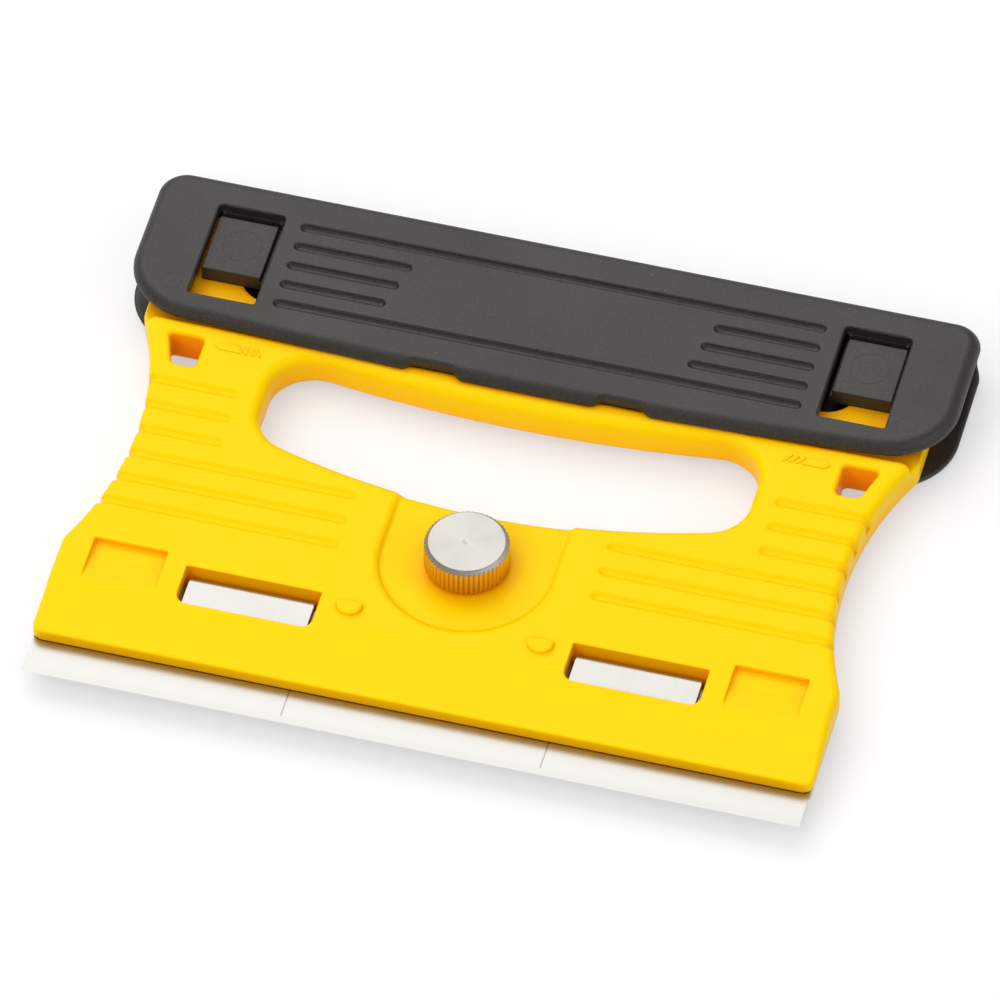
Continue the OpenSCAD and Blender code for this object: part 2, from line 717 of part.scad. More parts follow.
// Outline of the cover from its spine, with its lip lapping further by bow in the middle
function cover_path(bow) =
    let (low_c = [cover_hw - cover_low_r, cover_lip + cover_low_r],
         top_c = [cover_hw - cover_top_r, spine_outer - cover_top_r],
         n = 12,
         right = concat(arc(low_c, cover_low_r, -90, 0), arc(top_c, cover_top_r, 0, 90)),
         low = [for (i = [1:n - 1]) let (t = 2 * i / n - 1) [t * low_c.x, cover_lip - bow * (1 - t * t)]])
    concat(mirrored(right), low, right);

// The cover before it is hollowed out: only its front wall has the bowed lip
module cover_blank() {
    rounds = [for (i = [0:fillet_steps]) let (a = 90 * i / fillet_steps)
        cover_edge_r * [1 - sin(a), 1 - cos(a)]];
    rear_rings = [for (s = rounds) ring(inset(cover_path(0), s[0]), cover_rear + s[1])];
    front_rings = [for (i = [fillet_steps:-1:0])
        ring(inset(cover_path(cover_bow), rounds[i][0]), cover_front - rounds[i][1])];
    loft(concat(rear_rings, front_rings));
}

module cover_channel() {
    low = cover_lip - cover_bow - over;
    r = cover_wall / 2;
    along_x(-cover_hw - over, cover_hw + over) {
        translate([low, cover_inner_rear])
            square([spine_inner - r - low, cover_inner_front - cover_inner_rear]);
        translate([low, cover_inner_rear + r])
            square([spine_inner - low, cover_inner_front - cover_inner_rear - 2 * r]);
        for (z = [cover_inner_rear + r, cover_inner_front - r]) translate([spine_inner - r, z]) circle(r);
    }
}

module cover_window() {
    r = cover_window_r;
    w = cover_window_w;
    translate([cover_window_x, cover_window_low, cover_inner_front - over])
        linear_extrude(cover_wall + 2 * over) {
            square([w, cover_window_l - r]);
            translate([r, 0]) square([w - 2 * r, cover_window_l]);
            for (x = [r, w - r]) translate([x, cover_window_l - r]) circle(r);
        }
}

// The block that carries a grip tongue from the spine, and shows as a ledge in the window
module tongue_root() {
    translate([tongue_in, root_end, tongue_rear])
        cube([tongue_w, spine_inner + over - root_end, tongue_t - root_drop]);
}

module rib_grooves() {
    first = spine_outer - rib_y;
    for (i = [0, 4])
        face_groove(-rib_end, rib_end, first - i * rib_pitch, cover_front, rib_w, rib_d);
    for (i = [1:3]) {
        shift = (i - 2) * rib_lean;
        face_groove(rib_in - shift, rib_end, first - i * rib_pitch, cover_front, rib_w, rib_d);
        face_groove(-rib_end, -rib_in - shift, first - i * rib_pitch, cover_front, rib_w, rib_d);
    }
}

module lip_notch() {
    deep = cover_lip - cover_bow + lip_notch_d;
    flare = lip_notch_d;
    translate([0, 0, cover_inner_front - over]) linear_extrude(cover_wall + 2 * over) polygon([
        [lip_notch_in, deep], [lip_notch_in - 2 * flare, deep - 2 * flare],
        [lip_notch_in + lip_notch_w + 2 * flare, deep - 2 * flare], [lip_notch_in + lip_notch_w, deep]]);
}

// The bead on the rear lip that runs in the body's guide groove
module guide_bead() {
    length = 2 * (cover_hw - cover_low_r);
    translate([-length / 2, shoulder + guide_y + cover_fit, cover_inner_rear - over])
        cube([length, guide_w - 2 * cover_fit, guide_d + over]);
}

module blade_cover() {
    color(black) seated() {
        difference() {
            cover_blank();
            cover_channel();
            both_sides() {
                cover_window();
                lip_notch();
            }
            rib_grooves();
        }
        both_sides() tongue_root();
        guide_bead();
    }
}

// A grip tongue: a flat spring with a raised pad whose front edges are rounded
module grip_tongue() {
    pad_z = tongue_front - pad_h;
    low = tongue_end - tongue_l;
    translate([tongue_in, low, tongue_rear]) cube([tongue_w, tongue_l, pad_z - tongue_rear]);
    left = tongue_in + pad_in;
    right = tongue_in + tongue_w - pad_in;
    high = tongue_end - pad_in;
    path = [[left, low], [right, low], [right, high], [left, high]];
    rounds = [for (i = [0:fillet_steps]) let (a = 90 * i / fillet_steps) pad_r * [1 - cos(a), 1 - sin(a)]];
    loft(concat(
        [ring(path, pad_z - pad_r)],
        [for (s = rounds) ring(inset(path, s[0]), tongue_front - s[1])]));
}

module left_grip_tongue() {
    color(black) seated() mirror([1, 0, 0]) grip_tongue();
}

module right_grip_tongue() {
    color(black) seated() grip_tongue();
}

handle_body();
blade();
clamp_plate();
threaded_bush();
thumb_screw();
blade_cover();
left_grip_tongue();
right_grip_tongue();
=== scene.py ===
"""A wide razor scraper, dressed for rendering: a moulded yellow body with a finger opening, a long blade held
by a steel plate and one knurled thumb screw, and a black blade cover stowed on the handle.

Lengths are in metres. Along y they count from the cutting edge and along z from the blade's front face."""

import math

import bmesh
import bpy
import numpy as np
from bpy.props import FloatProperty, FloatVectorProperty, IntProperty, PointerProperty
from bpy.types import Operator, Panel, PropertyGroup
from mathutils import Matrix, Vector


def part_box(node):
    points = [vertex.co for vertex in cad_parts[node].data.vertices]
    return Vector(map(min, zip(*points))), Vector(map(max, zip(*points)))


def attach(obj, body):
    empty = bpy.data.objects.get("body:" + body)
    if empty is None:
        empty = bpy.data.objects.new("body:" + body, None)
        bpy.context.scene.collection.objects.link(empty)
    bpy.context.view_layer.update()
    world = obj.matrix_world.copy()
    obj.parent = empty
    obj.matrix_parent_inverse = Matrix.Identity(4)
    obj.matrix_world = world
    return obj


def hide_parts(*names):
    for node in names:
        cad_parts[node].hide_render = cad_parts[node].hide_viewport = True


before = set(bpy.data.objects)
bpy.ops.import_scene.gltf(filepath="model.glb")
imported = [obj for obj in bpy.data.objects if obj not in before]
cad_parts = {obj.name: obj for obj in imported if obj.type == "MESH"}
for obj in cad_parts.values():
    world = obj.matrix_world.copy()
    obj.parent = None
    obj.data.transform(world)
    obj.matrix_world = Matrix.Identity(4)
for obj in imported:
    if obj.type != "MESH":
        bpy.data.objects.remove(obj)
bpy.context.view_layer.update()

bl_info = {
    "name": "Razor scraper",
    "version": (1, 0, 0),
    "blender": (4, 5, 0),
    "location": "3D View > Sidebar > Scraper",
    "description": "Models and finishes the pieces of a wide razor scraper",
    "category": "Object",
}

MM = 0.001

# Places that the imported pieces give
BLADE_LOW, BLADE_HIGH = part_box("blade")
BODY_LOW, BODY_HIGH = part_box("handle_body")
COVER_LOW, COVER_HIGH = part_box("blade_cover")
PLATE_LOW, PLATE_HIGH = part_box("clamp_plate")
SCREW_LOW, SCREW_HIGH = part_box("thumb_screw")
BUSH_LOW, BUSH_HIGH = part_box("threaded_bush")
EDGE_Y = BLADE_LOW.y
FACE_Z = BLADE_HIGH.z
SCREW_Y = (SCREW_LOW.y + SCREW_HIGH.y) / 2 - EDGE_Y
SIDES = {"left": -1, "right": 1}


def size(millimetres, text):
    """A length that a user may change, given in millimetres"""
    return FloatProperty(name=text, default=millimetres * MM, unit="LENGTH", precision=5)


def up_to(millimetres, text):
    """A place along y that a user may change"""
    return size(millimetres, "From the cutting edge to " + text)


def out_to(millimetres, text):
    """A place along x that a user may change"""
    return size(millimetres, "From the middle to " + text)


def tint(colour, text):
    """A colour that a user may change"""
    return FloatVectorProperty(name=text, default=colour, size=3, min=0, max=1, subtype="COLOR")


def level(value, text):
    """A plain number that a user may change"""
    return FloatProperty(name=text, default=value, min=0)


def whole(number, text):
    """A count that a user may change"""
    return IntProperty(name=text, default=number, min=1)


def turn(degrees, text):
    """An angle that a user may change, given in degrees"""
    return FloatProperty(name=text, default=math.radians(degrees), subtype="ANGLE")


class BodySizes(PropertyGroup):
    """Sizes of the moulded body"""

    cell: size(0.3, "Grid cell that the body is meshed on")
    end_lap: size(0.3, "How far the body's ends stand past the blade's ends")
    lip: up_to(6.3, "the body's lip")
    lip_h: size(1.4, "Height of the lip above the blade")
    face_h: size(4, "Height of the front face above the blade")
    slope_l: size(11.1, "Length of the sloping front")
    crease_soft: size(0.3, "How softly the slope turns into the level face")
    waist_hw: size(55.4, "Half width at the waist")
    waist_y: up_to(47, "the waist")
    side_r: size(56, "Radius of the hollow sides")
    corner_r: size(4, "Radius where the straight ends turn into the hollow sides")
    lip_corner_r: size(1.6, "Corner radius of the lip")
    lip_edge_r: size(0.5, "Rounding of the lip's front edge")
    edge_r: size(1.2, "Rounding of the front edges")
    back_edge_r: size(0.8, "Rounding of the rear edges")
    small_r: size(0.25, "Rounding of windows and pockets")
    soft_r: size(0.5, "Rounding of the recess and the nubs")
    parting_z: size(1, "Height of the mould's parting line")
    draft: level(0.02, "How much the walls lean in, away from the parting line")

    shoulder: up_to(70.9, "the shoulder where the rail starts")
    shoulder_r: size(1.6, "Rounding of the shoulder")
    shoulder_corner_r: size(2.2, "Radius of the shoulder's ends, seen from the front")
    rail_edge_r: size(0.5, "Rounding of the rail's front edges")
    rail_front: size(2.2, "Height of the rail's front above the blade")
    rail_top: up_to(78.8, "the rail's upper edge")
    ear_w: size(12.5, "Width of an ear")
    ear_fillet_r: size(5, "Radius of the hollow between an ear and the rail")
    ear_corner_r: size(3, "Corner radius of an ear")
    guide_y: up_to(72.3, "the guide groove in the rear face")
    guide_w: size(1.8, "Width of the guide groove")
    guide_d: size(0.6, "Depth of the guide groove")

    opening_hw: size(38.3, "Half width of the finger opening")
    opening_low: up_to(45.1, "the middle of the opening's lower edge")
    opening_low_bow: size(4.3, "How much higher the lower edge is at its ends")
    opening_high: up_to(66.1, "the middle of the opening's upper edge")
    opening_high_bow: size(2.1, "How much higher the upper edge is at its ends")
    opening_r: size(7, "Corner radius of the opening")
    opening_front_r: size(1.8, "Rounding of the opening's front edge")
    opening_back_r: size(1.2, "Rounding of the opening's rear edge")

    window_in: out_to(19.5, "a clamp window's inner side")
    window_w: size(21, "Width of a clamp window")
    window_top: up_to(22.9, "a clamp window's upper side")
    window_l: size(6.9, "Height of a clamp window")
    window_r: size(1.5, "Radius of a clamp window's lower corners")
    pocket_in: out_to(44, "a cover pocket's inner side")
    pocket_w: size(11.4, "Width of a cover pocket")
    pocket_top: up_to(24.8, "a cover pocket's upper side")
    pocket_d: size(1.1, "Depth of a cover pocket at its upper side")
    pocket_flat: size(3, "Length of a cover pocket's level floor")
    pocket_past: size(0.8, "How far a pocket's ramp runs out past the crease")
    nub_x: out_to(14.8, "a nub")
    nub_y: up_to(22, "a nub's flat side")
    nub_r: size(2.05, "Radius of a nub")
    nub_cut: size(0.75, "From a nub's flat side to the middle of its round side")
    recess_r: size(13.8, "Radius of the shallow recess round the thumb screw")
    recess_d: size(0.8, "Depth of the recess round the thumb screw")
    recess_lean: level(0.875, "How far the recess's wall leans out, per unit of depth")

    groove_first: up_to(32.6, "the first grip groove")
    groove_pitch: size(5.04, "Spacing of the grip grooves")
    groove_w: size(1.5, "Width of a grip groove")
    groove_d: size(0.5, "Depth of a grip groove")
    groove_r: size(0.36, "Rounding of a grip groove's edges")
    groove_long_in: out_to(19.7, "the long grooves' inner ends")
    groove_short_in: out_to(42, "the short grooves' inner ends")
    long_grooves: whole(3, "Long grooves on each side")
    short_grooves: whole(3, "Short grooves on each side")
    notch_d: size(0.6, "Depth of the notch that each groove cuts in the side")

    hang_in: out_to(50.2, "a hanging hole's inner side")
    hang_low: up_to(61.7, "a hanging hole's lower side")
    hang_l: size(6, "Height of a hanging hole")
    hang_low_w: size(3.7, "Width of a hanging hole at its lower side")
    hang_high_w: size(5.6, "Width of a hanging hole at its upper side")
    hang_r: size(0.9, "Corner radius of a hanging hole")
    hang_edge_r: size(0.8, "Rounding of a hanging hole's edges")

    clear: size(0.3, "Gap round the clamp plate and the bush")
    blade_fit: size(0.05, "Running gap on each side of the blade")
    screw_fit: size(0.3, "Radial gap of the screw in the body")
    tab_w: size(30, "Width of the clamp plate's tab")
    plate_r: size(2, "Corner radius of the clamp plate")

    arrow_in: out_to(40.8, "the inner end of the raised arrow")
    arrow_l: size(7.5, "Length of the raised arrow")
    arrow_y: up_to(66.6, "the middle of the raised arrow")
    arrow_h: size(1.5, "Height of the raised arrow across its length")
    arrow_out: size(0.18, "How far the arrow stands out of the face")


class CoverSizes(PropertyGroup):
    """Sizes of the blade cover and its tongues"""

    cell: size(0.33, "Grid cell that the cover is meshed on")
    wall: size(2.1, "Wall of the cover")
    bow: size(1.7, "How much further the lip laps in the middle")
    low_r: size(11, "Corner radius at the lip")
    top_r: size(4.5, "Corner radius at the spine")
    edge_r: size(2.1, "Rounding of the outer edges")
    inner_r: size(1.05, "Rounding of the channel's inner corners")
    mouth_r: size(0.5, "Rounding of the lip's inner edge")
    small_r: size(0.22, "Rounding of windows and grooves")
    window_in: out_to(44.2, "a window's inner side")
    window_w: size(10.6, "Width of a window")
    window_low: up_to(74.3, "a window's lower side")
    window_l: size(18.7, "Height of a window")
    window_r: size(0.7, "Radius of a window's upper corners")
    root_end: up_to(92.5, "the end of a tongue's root")
    root_drop: size(0.2, "How far the root's ledge lies below the tongue's face")
    rib_first: up_to(91.5, "the uppermost rib groove")
    rib_pitch: size(4, "Spacing of the rib grooves")
    rib_w: size(1.45, "Width of a rib groove")
    rib_d: size(0.7, "Depth of a rib groove")
    rib_out: out_to(40.75, "the rib grooves' outer ends")
    rib_in: out_to(24.6, "the short rib grooves' inner ends")
    rib_lean: size(1.05, "How far each short rib groove is shifted past the one above it")
    notch_in: out_to(11.7, "a lip notch's inner end")
    notch_w: size(6.4, "Width of a lip notch")
    notch_d: size(1.3, "Depth of a lip notch")
    bead_w: size(1.6, "Width of the bead that runs in the body's guide groove")
    bead_y: up_to(72.4, "the guide bead")
    bead_h: size(0.6, "Height of the guide bead")
    tongue_cell: size(0.15, "Grid cell that a tongue is meshed on")
    pad_h: size(1.2, "Height of the raised pad on a tongue")
    pad_in: size(0.45, "How far the pad is set in from the tongue's inner side and root")
    pad_r: size(0.2, "Rounding of the pad's edges and corners")
    ring_x: out_to(57.8, "a ring mark on the cover")
    ring_y: up_to(75.75, "a ring mark on the cover")
    ring_r: size(1.5, "Radius of a ring mark on the cover")
    tongue_ring_r: size(3, "Radius of the ring mark on a tongue")
    ring_line: size(0.07, "Half width of a ring mark's line")


class MetalSizes(PropertyGroup):
    """Sizes of the clamp plate, the bush and the thumb screw"""

    plate_cell: size(0.2, "Grid cell that the clamp plate is meshed on")
    plate_edge_r: size(0.15, "Rounding of the clamp plate's edges")
    plate_t: size(1.2, "Thickness of the clamp plate")
    plate_top: up_to(25, "the clamp plate's upper side beside the tab")
    stop_low: up_to(16.3, "a blade stop's lower wall")
    stop_gap: size(0.4, "Gap between a blade stop and its window's upper side")
    stop_end_gap: size(0.7, "Gap between a blade stop and the ends of its window")
    stop_r: size(0.3, "Inner bend radius of a blade stop")
    stop_low_r: size(0.5, "Outer radius of a blade stop's lower bend, which is pressed sharp")
    stop_corner_r: size(0.5, "Corner radius of a blade stop, seen from the front")
    bush_neck_r: size(3.4, "Radius of the bush where it is pressed into the plate")
    bush_bore_r: size(2.55, "Radius of the bush's thread")
    bush_flange_z: size(-0.5, "Height of the bush's flange above the blade's front face")
    head_chamfer: size(0.6, "Chamfer of the thumb screw's head")
    head_low: size(3.5, "Height of the head's underside above the blade")
    boss_r: size(5.3, "Radius of the boss under the head")
    boss_low: size(3.25, "Height of the boss's underside above the blade")
    rim_r: size(0.1, "Rounding of the head's rim")
    shank_r: size(2.5, "Radius of the screw's shank")
    dimple_r: size(0.6, "Radius of the turned dimple in the head")
    dimple_d: size(0.05, "Depth of the turned dimple in the head")
    knurl_n: whole(52, "Number of knurl teeth")
    knurl_d: size(0.25, "Depth of the grooves between the knurl teeth")


class Finishes(PropertyGroup):
    """Colours of the pieces"""

    body: tint((1.0, 0.64, 0.0), "Moulded yellow of the body")
    # painted shade: the deeper orange that the body's hollows are painted with
    body_painted_shade: tint((1.0, 0.38, 0.0), "Deeper yellow of the body in its hollows")
    cover: tint((0.024, 0.021, 0.016), "Black of the cover")
    cover_dust: tint((0.16, 0.155, 0.145), "Dust on the cover")
    blade: tint((0.47, 0.463, 0.44), "Ground steel of the blade")
    plate: tint((0.47, 0.46, 0.435), "Sheet steel of the clamp plate")
    screw: tint((0.57, 0.55, 0.51), "Nickel plating of the thumb screw")
    brass: tint((0.75, 0.56, 0.24), "Brass of the bush")


class StageSettings(PropertyGroup):
    """Camera, floor and light"""

    azimuth: turn(14.738, "Camera's turn to the right of the part's front")
    elevation: turn(48.991, "Camera's height above the floor as an angle")
    distance: size(2000, "From the camera to its target")
    target: FloatVectorProperty(name="Point that the camera looks at", size=3, unit="LENGTH", precision=5,
                                default=(0.781 * MM, 1.369 * MM, FACE_Z))
    lens: level(475.8, "Focal length on the camera's sensor, in millimetres")
    floor: tint((0.92, 0.92, 0.915), "Pale floor")
    backdrop: level(0.5, "Share of pure white in the floor that the camera sees")
    world_level: level(0.43, "Even light from all round")
    key_power: level(22, "Power of the large light behind and over the handle, in watts")
    fill_power: level(2.5, "Power of the light at the right, in watts")
    front_power: level(15, "Power of the diffuse light in front, in watts")


# Distance functions, negative inside a shape

def rounded_and(a, b, r):
    """What two shapes share, with the edge between them rounded by r"""
    return np.minimum(np.maximum(a, b), -r) + np.hypot(np.maximum(a + r, 0), np.maximum(b + r, 0))


def rounded_or(a, b, r):
    """Two shapes joined, with the corner between them filled by r"""
    return -rounded_and(-a, -b, r)


def rounded_cut(a, b, r):
    """The first shape without the second, with the cut's edge rounded by r"""
    return rounded_and(a, -b, r)


def soft_and(a, b, k):
    """What two shapes share where they meet at a shallow angle, blended over k"""
    blend = np.maximum(k - np.abs(a - b), 0)
    return np.maximum(a, b) + blend * blend / (4 * k)


def rounded_box(x, y, low, high, r):
    """A rectangle with round corners"""
    across = np.abs(x - (low[0] + high[0]) / 2) - (high[0] - low[0]) / 2 + r
    along = np.abs(y - (low[1] + high[1]) / 2) - (high[1] - low[1]) / 2 + r
    outside = np.hypot(np.maximum(across, 0), np.maximum(along, 0))
    return outside + np.minimum(np.maximum(across, along), 0) - r


def groove_cut(x0, x1, x, y, z, centre_y, face_z, w, d):
    """A round-bottomed groove along x in a face at height face_z, with round ends"""
    r = w * w / (8 * d) + d / 2
    past = np.maximum(np.maximum(x0 - x, x - x1), 0)
    return np.sqrt(past * past + (y - centre_y) ** 2 + (z - face_z - r + d) ** 2) - r


# Outlines: straight runs and arcs that meet smoothly, each giving a signed distance and where it holds

def run(start, end):
    """A straight run with the shape on its left"""
    length = math.dist(start, end)
    dx = (end[0] - start[0]) / length
    dy = (end[1] - start[1]) / length

    def measure(x, y):
        along = (x - start[0]) * dx + (y - start[1]) * dy
        return (x - start[0]) * dy - (y - start[1]) * dx, (along >= 0) & (along <= length)

    return measure


def bend(centre, radius, start, end, hollow=False):
    """An arc between two angles in radians; the shape lies inside it, or outside a hollow one"""
    middle = (start + end) / 2
    reach = abs(end - start) / 2 + 1e-6

    def measure(x, y):
        out = np.hypot(x - centre[0], y - centre[1]) - radius
        angle = np.arctan2(y - centre[1], x - centre[0]) - middle
        angle = np.abs((angle + math.pi) % (2 * math.pi) - math.pi)
        return -out if hollow else out, angle <= reach

    return measure


def outline_distance(pieces, x, y):
    """Signed distance to an outline, negative inside"""
    nearest = np.full(np.broadcast_shapes(np.shape(x), np.shape(y)), np.inf)
    for measure in pieces:
        found, holds = measure(x, y)
        nearest = np.where(holds & (np.abs(found) < np.abs(nearest)), found, nearest)
    return nearest


QUARTER = math.pi / 2


def body_outline(s):
    """Right half of the body's outline, from the lip up over the ear to the middle of the rail"""
    hw = BLADE_HIGH.x + s.end_lap
    rail_hw = BODY_HIGH.x
    ear_top = BODY_HIGH.y - EDGE_Y
    ear_in = rail_hw - s.ear_w
    side = (s.waist_hw + s.side_r, s.waist_y)

    def fillet_centre(edge_x, r, way):
        """Middle of an arc that joins a straight end at edge_x to the hollow side"""
        across = side[0] - edge_x + r
        return edge_x - r, side[1] + way * math.sqrt((s.side_r + r) ** 2 - across * across)

    low = fillet_centre(hw, s.corner_r, -1)
    high = fillet_centre(rail_hw, s.ear_corner_r, 1)
    low_turn = math.atan2(side[1] - low[1], side[0] - low[0])
    high_turn = math.atan2(high[1] - side[1], side[0] - high[0])
    lip_r, ear_r, hollow_r = s.lip_corner_r, s.ear_corner_r, s.ear_fillet_r
    return [
        run((0, s.lip), (hw - lip_r, s.lip)),
        bend((hw - lip_r, s.lip + lip_r), lip_r, -QUARTER, 0),
        run((hw, s.lip + lip_r), (hw, low[1])),
        bend(low, s.corner_r, 0, low_turn),
        bend(side, s.side_r, math.pi + low_turn, math.pi - high_turn, hollow=True),
        bend(high, ear_r, -high_turn, 0),
        run((rail_hw, high[1]), (rail_hw, ear_top - ear_r)),
        bend((rail_hw - ear_r, ear_top - ear_r), ear_r, 0, QUARTER),
        run((rail_hw - ear_r, ear_top), (ear_in + ear_r, ear_top)),
        bend((ear_in + ear_r, ear_top - ear_r), ear_r, QUARTER, 2 * QUARTER),
        run((ear_in, ear_top - ear_r), (ear_in, s.rail_top + hollow_r)),
        bend((ear_in - hollow_r, s.rail_top + hollow_r), hollow_r, 0, -QUARTER, hollow=True),
        run((ear_in - hollow_r, s.rail_top), (0, s.rail_top)),
    ]


def bow_radius(half_chord, bow):
    """Radius of an arc that rises by bow over half its chord"""
    return (half_chord ** 2 + bow ** 2) / (2 * bow)


def opening_outline(s):
    """Right half of the finger opening's outline"""
    r = s.opening_r
    cx = s.opening_hw - r
    low_r = bow_radius(cx, s.opening_low_bow)
    high_r = bow_radius(cx, s.opening_high_bow)
    low_y = s.opening_low + low_r - math.sqrt((low_r - r) ** 2 - cx * cx)
    high_y = s.opening_high + high_r - math.sqrt((high_r + r) ** 2 - cx * cx)
    low_turn = math.asin(cx / (low_r - r))
    high_turn = math.asin(cx / (high_r + r))
    return [
        bend((0, s.opening_low + low_r), low_r, -QUARTER, low_turn - QUARTER),
        bend((cx, low_y), r, low_turn - QUARTER, 0),
        run((s.opening_hw, low_y), (s.opening_hw, high_y)),
        bend((cx, high_y), r, 0, QUARTER + high_turn),
        bend((0, s.opening_high + high_r), high_r, -QUARTER, high_turn - QUARTER, hollow=True),
    ]


def cover_outline(s, bow):
    """Right half of the cover's outline, with its lip lapping further by bow in the middle"""
    hw = COVER_HIGH.x
    top = COVER_HIGH.y - EDGE_Y
    lip = COVER_LOW.y - EDGE_Y + s.bow - bow
    cx = hw - s.low_r
    lip_r = bow_radius(cx, bow)
    low_y = lip + lip_r - math.sqrt((lip_r - s.low_r) ** 2 - cx * cx)
    low_turn = math.asin(cx / (lip_r - s.low_r))
    return [
        bend((0, lip + lip_r), lip_r, -QUARTER, low_turn - QUARTER),
        bend((cx, low_y), s.low_r, low_turn - QUARTER, 0),
        run((hw, low_y), (hw, top - s.top_r)),
        bend((hw - s.top_r, top - s.top_r), s.top_r, 0, QUARTER),
        run((hw - s.top_r, top), (0, top)),
    ]


def groove_rows(s):
    """Height and inner end of each grip groove on one side"""
    inner = [s.groove_long_in] * s.long_grooves + [s.groove_short_in] * s.short_grooves
    return [(s.groove_first + i * s.groove_pitch, end) for i, end in enumerate(inner)]


def body_front(s, x, y, z):
    """The body's front surface: slope, crease and level face with what is sunk into them"""
    rise = (s.face_h - s.lip_h) / s.slope_l
    slope = (z - s.lip_h - (y - s.lip) * rise) / math.hypot(1, rise)
    front = soft_and(z - s.face_h, slope, s.crease_soft)

    crease = s.lip + s.slope_l
    floor_z = s.face_h - s.pocket_d
    ramp_y = s.pocket_top - s.pocket_flat
    out_y = crease - s.pocket_past
    ramp_rise = (s.lip_h + (out_y - s.lip) * rise - floor_z) / (ramp_y - out_y)
    ramp = (z - floor_z - (ramp_y - y) * ramp_rise) / math.hypot(1, ramp_rise)
    low, high = (s.pocket_in, out_y - s.pocket_flat), (s.pocket_in + s.pocket_w, s.pocket_top)
    wall = rounded_box(x, y, low, high, s.small_r)
    front = rounded_and(front, rounded_or(-wall, np.minimum(z - floor_z, ramp), s.small_r), s.small_r)

    wall = np.hypot(x, np.maximum(SCREW_Y - y, 0)) - s.recess_r
    wall = np.maximum(wall, y - (s.opening_low + s.opening_high) / 2)
    lean = (-wall - (s.face_h - z) * s.recess_lean) / math.hypot(1, s.recess_lean)
    recess = rounded_or(lean, z - s.face_h + s.recess_d, s.small_r)
    front = rounded_and(front, recess, s.soft_r)

    for groove_y, inner in groove_rows(s):
        groove = groove_cut(inner + s.groove_w / 2, np.inf, x, y, z, groove_y, s.face_h, s.groove_w, s.groove_d)
        front = rounded_cut(front, groove, s.groove_r)
    return front


def body_side(s, outline, x, y, z):
    """The body's outer wall, drawn in away from the parting line and notched above it by the grip grooves"""
    wall = outline_distance(outline, x, y) + s.draft * np.abs(z - s.parting_z)
    notch_r = s.groove_w ** 2 / (8 * s.notch_d) + s.notch_d / 2
    for groove_y, _ in groove_rows(s):
        away = groove_y - s.waist_y
        edge_x = s.waist_hw + s.side_r - math.sqrt(s.side_r ** 2 - away * away)
        notch = np.hypot(x - edge_x - notch_r + s.notch_d, y - groove_y) - notch_r
        wall = rounded_cut(wall, np.maximum(notch, s.parting_z - z), s.small_r)
    return wall


def clamp_room(s, metal, x, y, z):
    """Room for the blade, the clamp plate and the bush in the body's rear face"""
    plate_top = PLATE_HIGH.y - EDGE_Y + s.clear
    blade_top = BLADE_HIGH.y - EDGE_Y + s.clear
    plate_z = PLATE_LOW.z - FACE_Z + metal.plate_t + s.blade_fit
    tab_hw = s.tab_w / 2 + s.clear
    tab = rounded_box(x, y, (-tab_hw, 0), (tab_hw, plate_top), s.plate_r)
    bush = np.hypot(x, y - SCREW_Y) - BUSH_HIGH.x - s.clear
    shank = np.hypot(x, y - SCREW_Y) - metal.shank_r - s.screw_fit
    arms_top = metal.plate_top + s.clear
    room = np.maximum(np.minimum(tab, y - arms_top), z - plate_z)
    room = np.minimum(room, np.maximum(y - blade_top, z - s.blade_fit))
    room = np.minimum(room, np.maximum(bush, z - (BUSH_HIGH.z - FACE_Z) - s.clear))
    return np.minimum(room, shank)


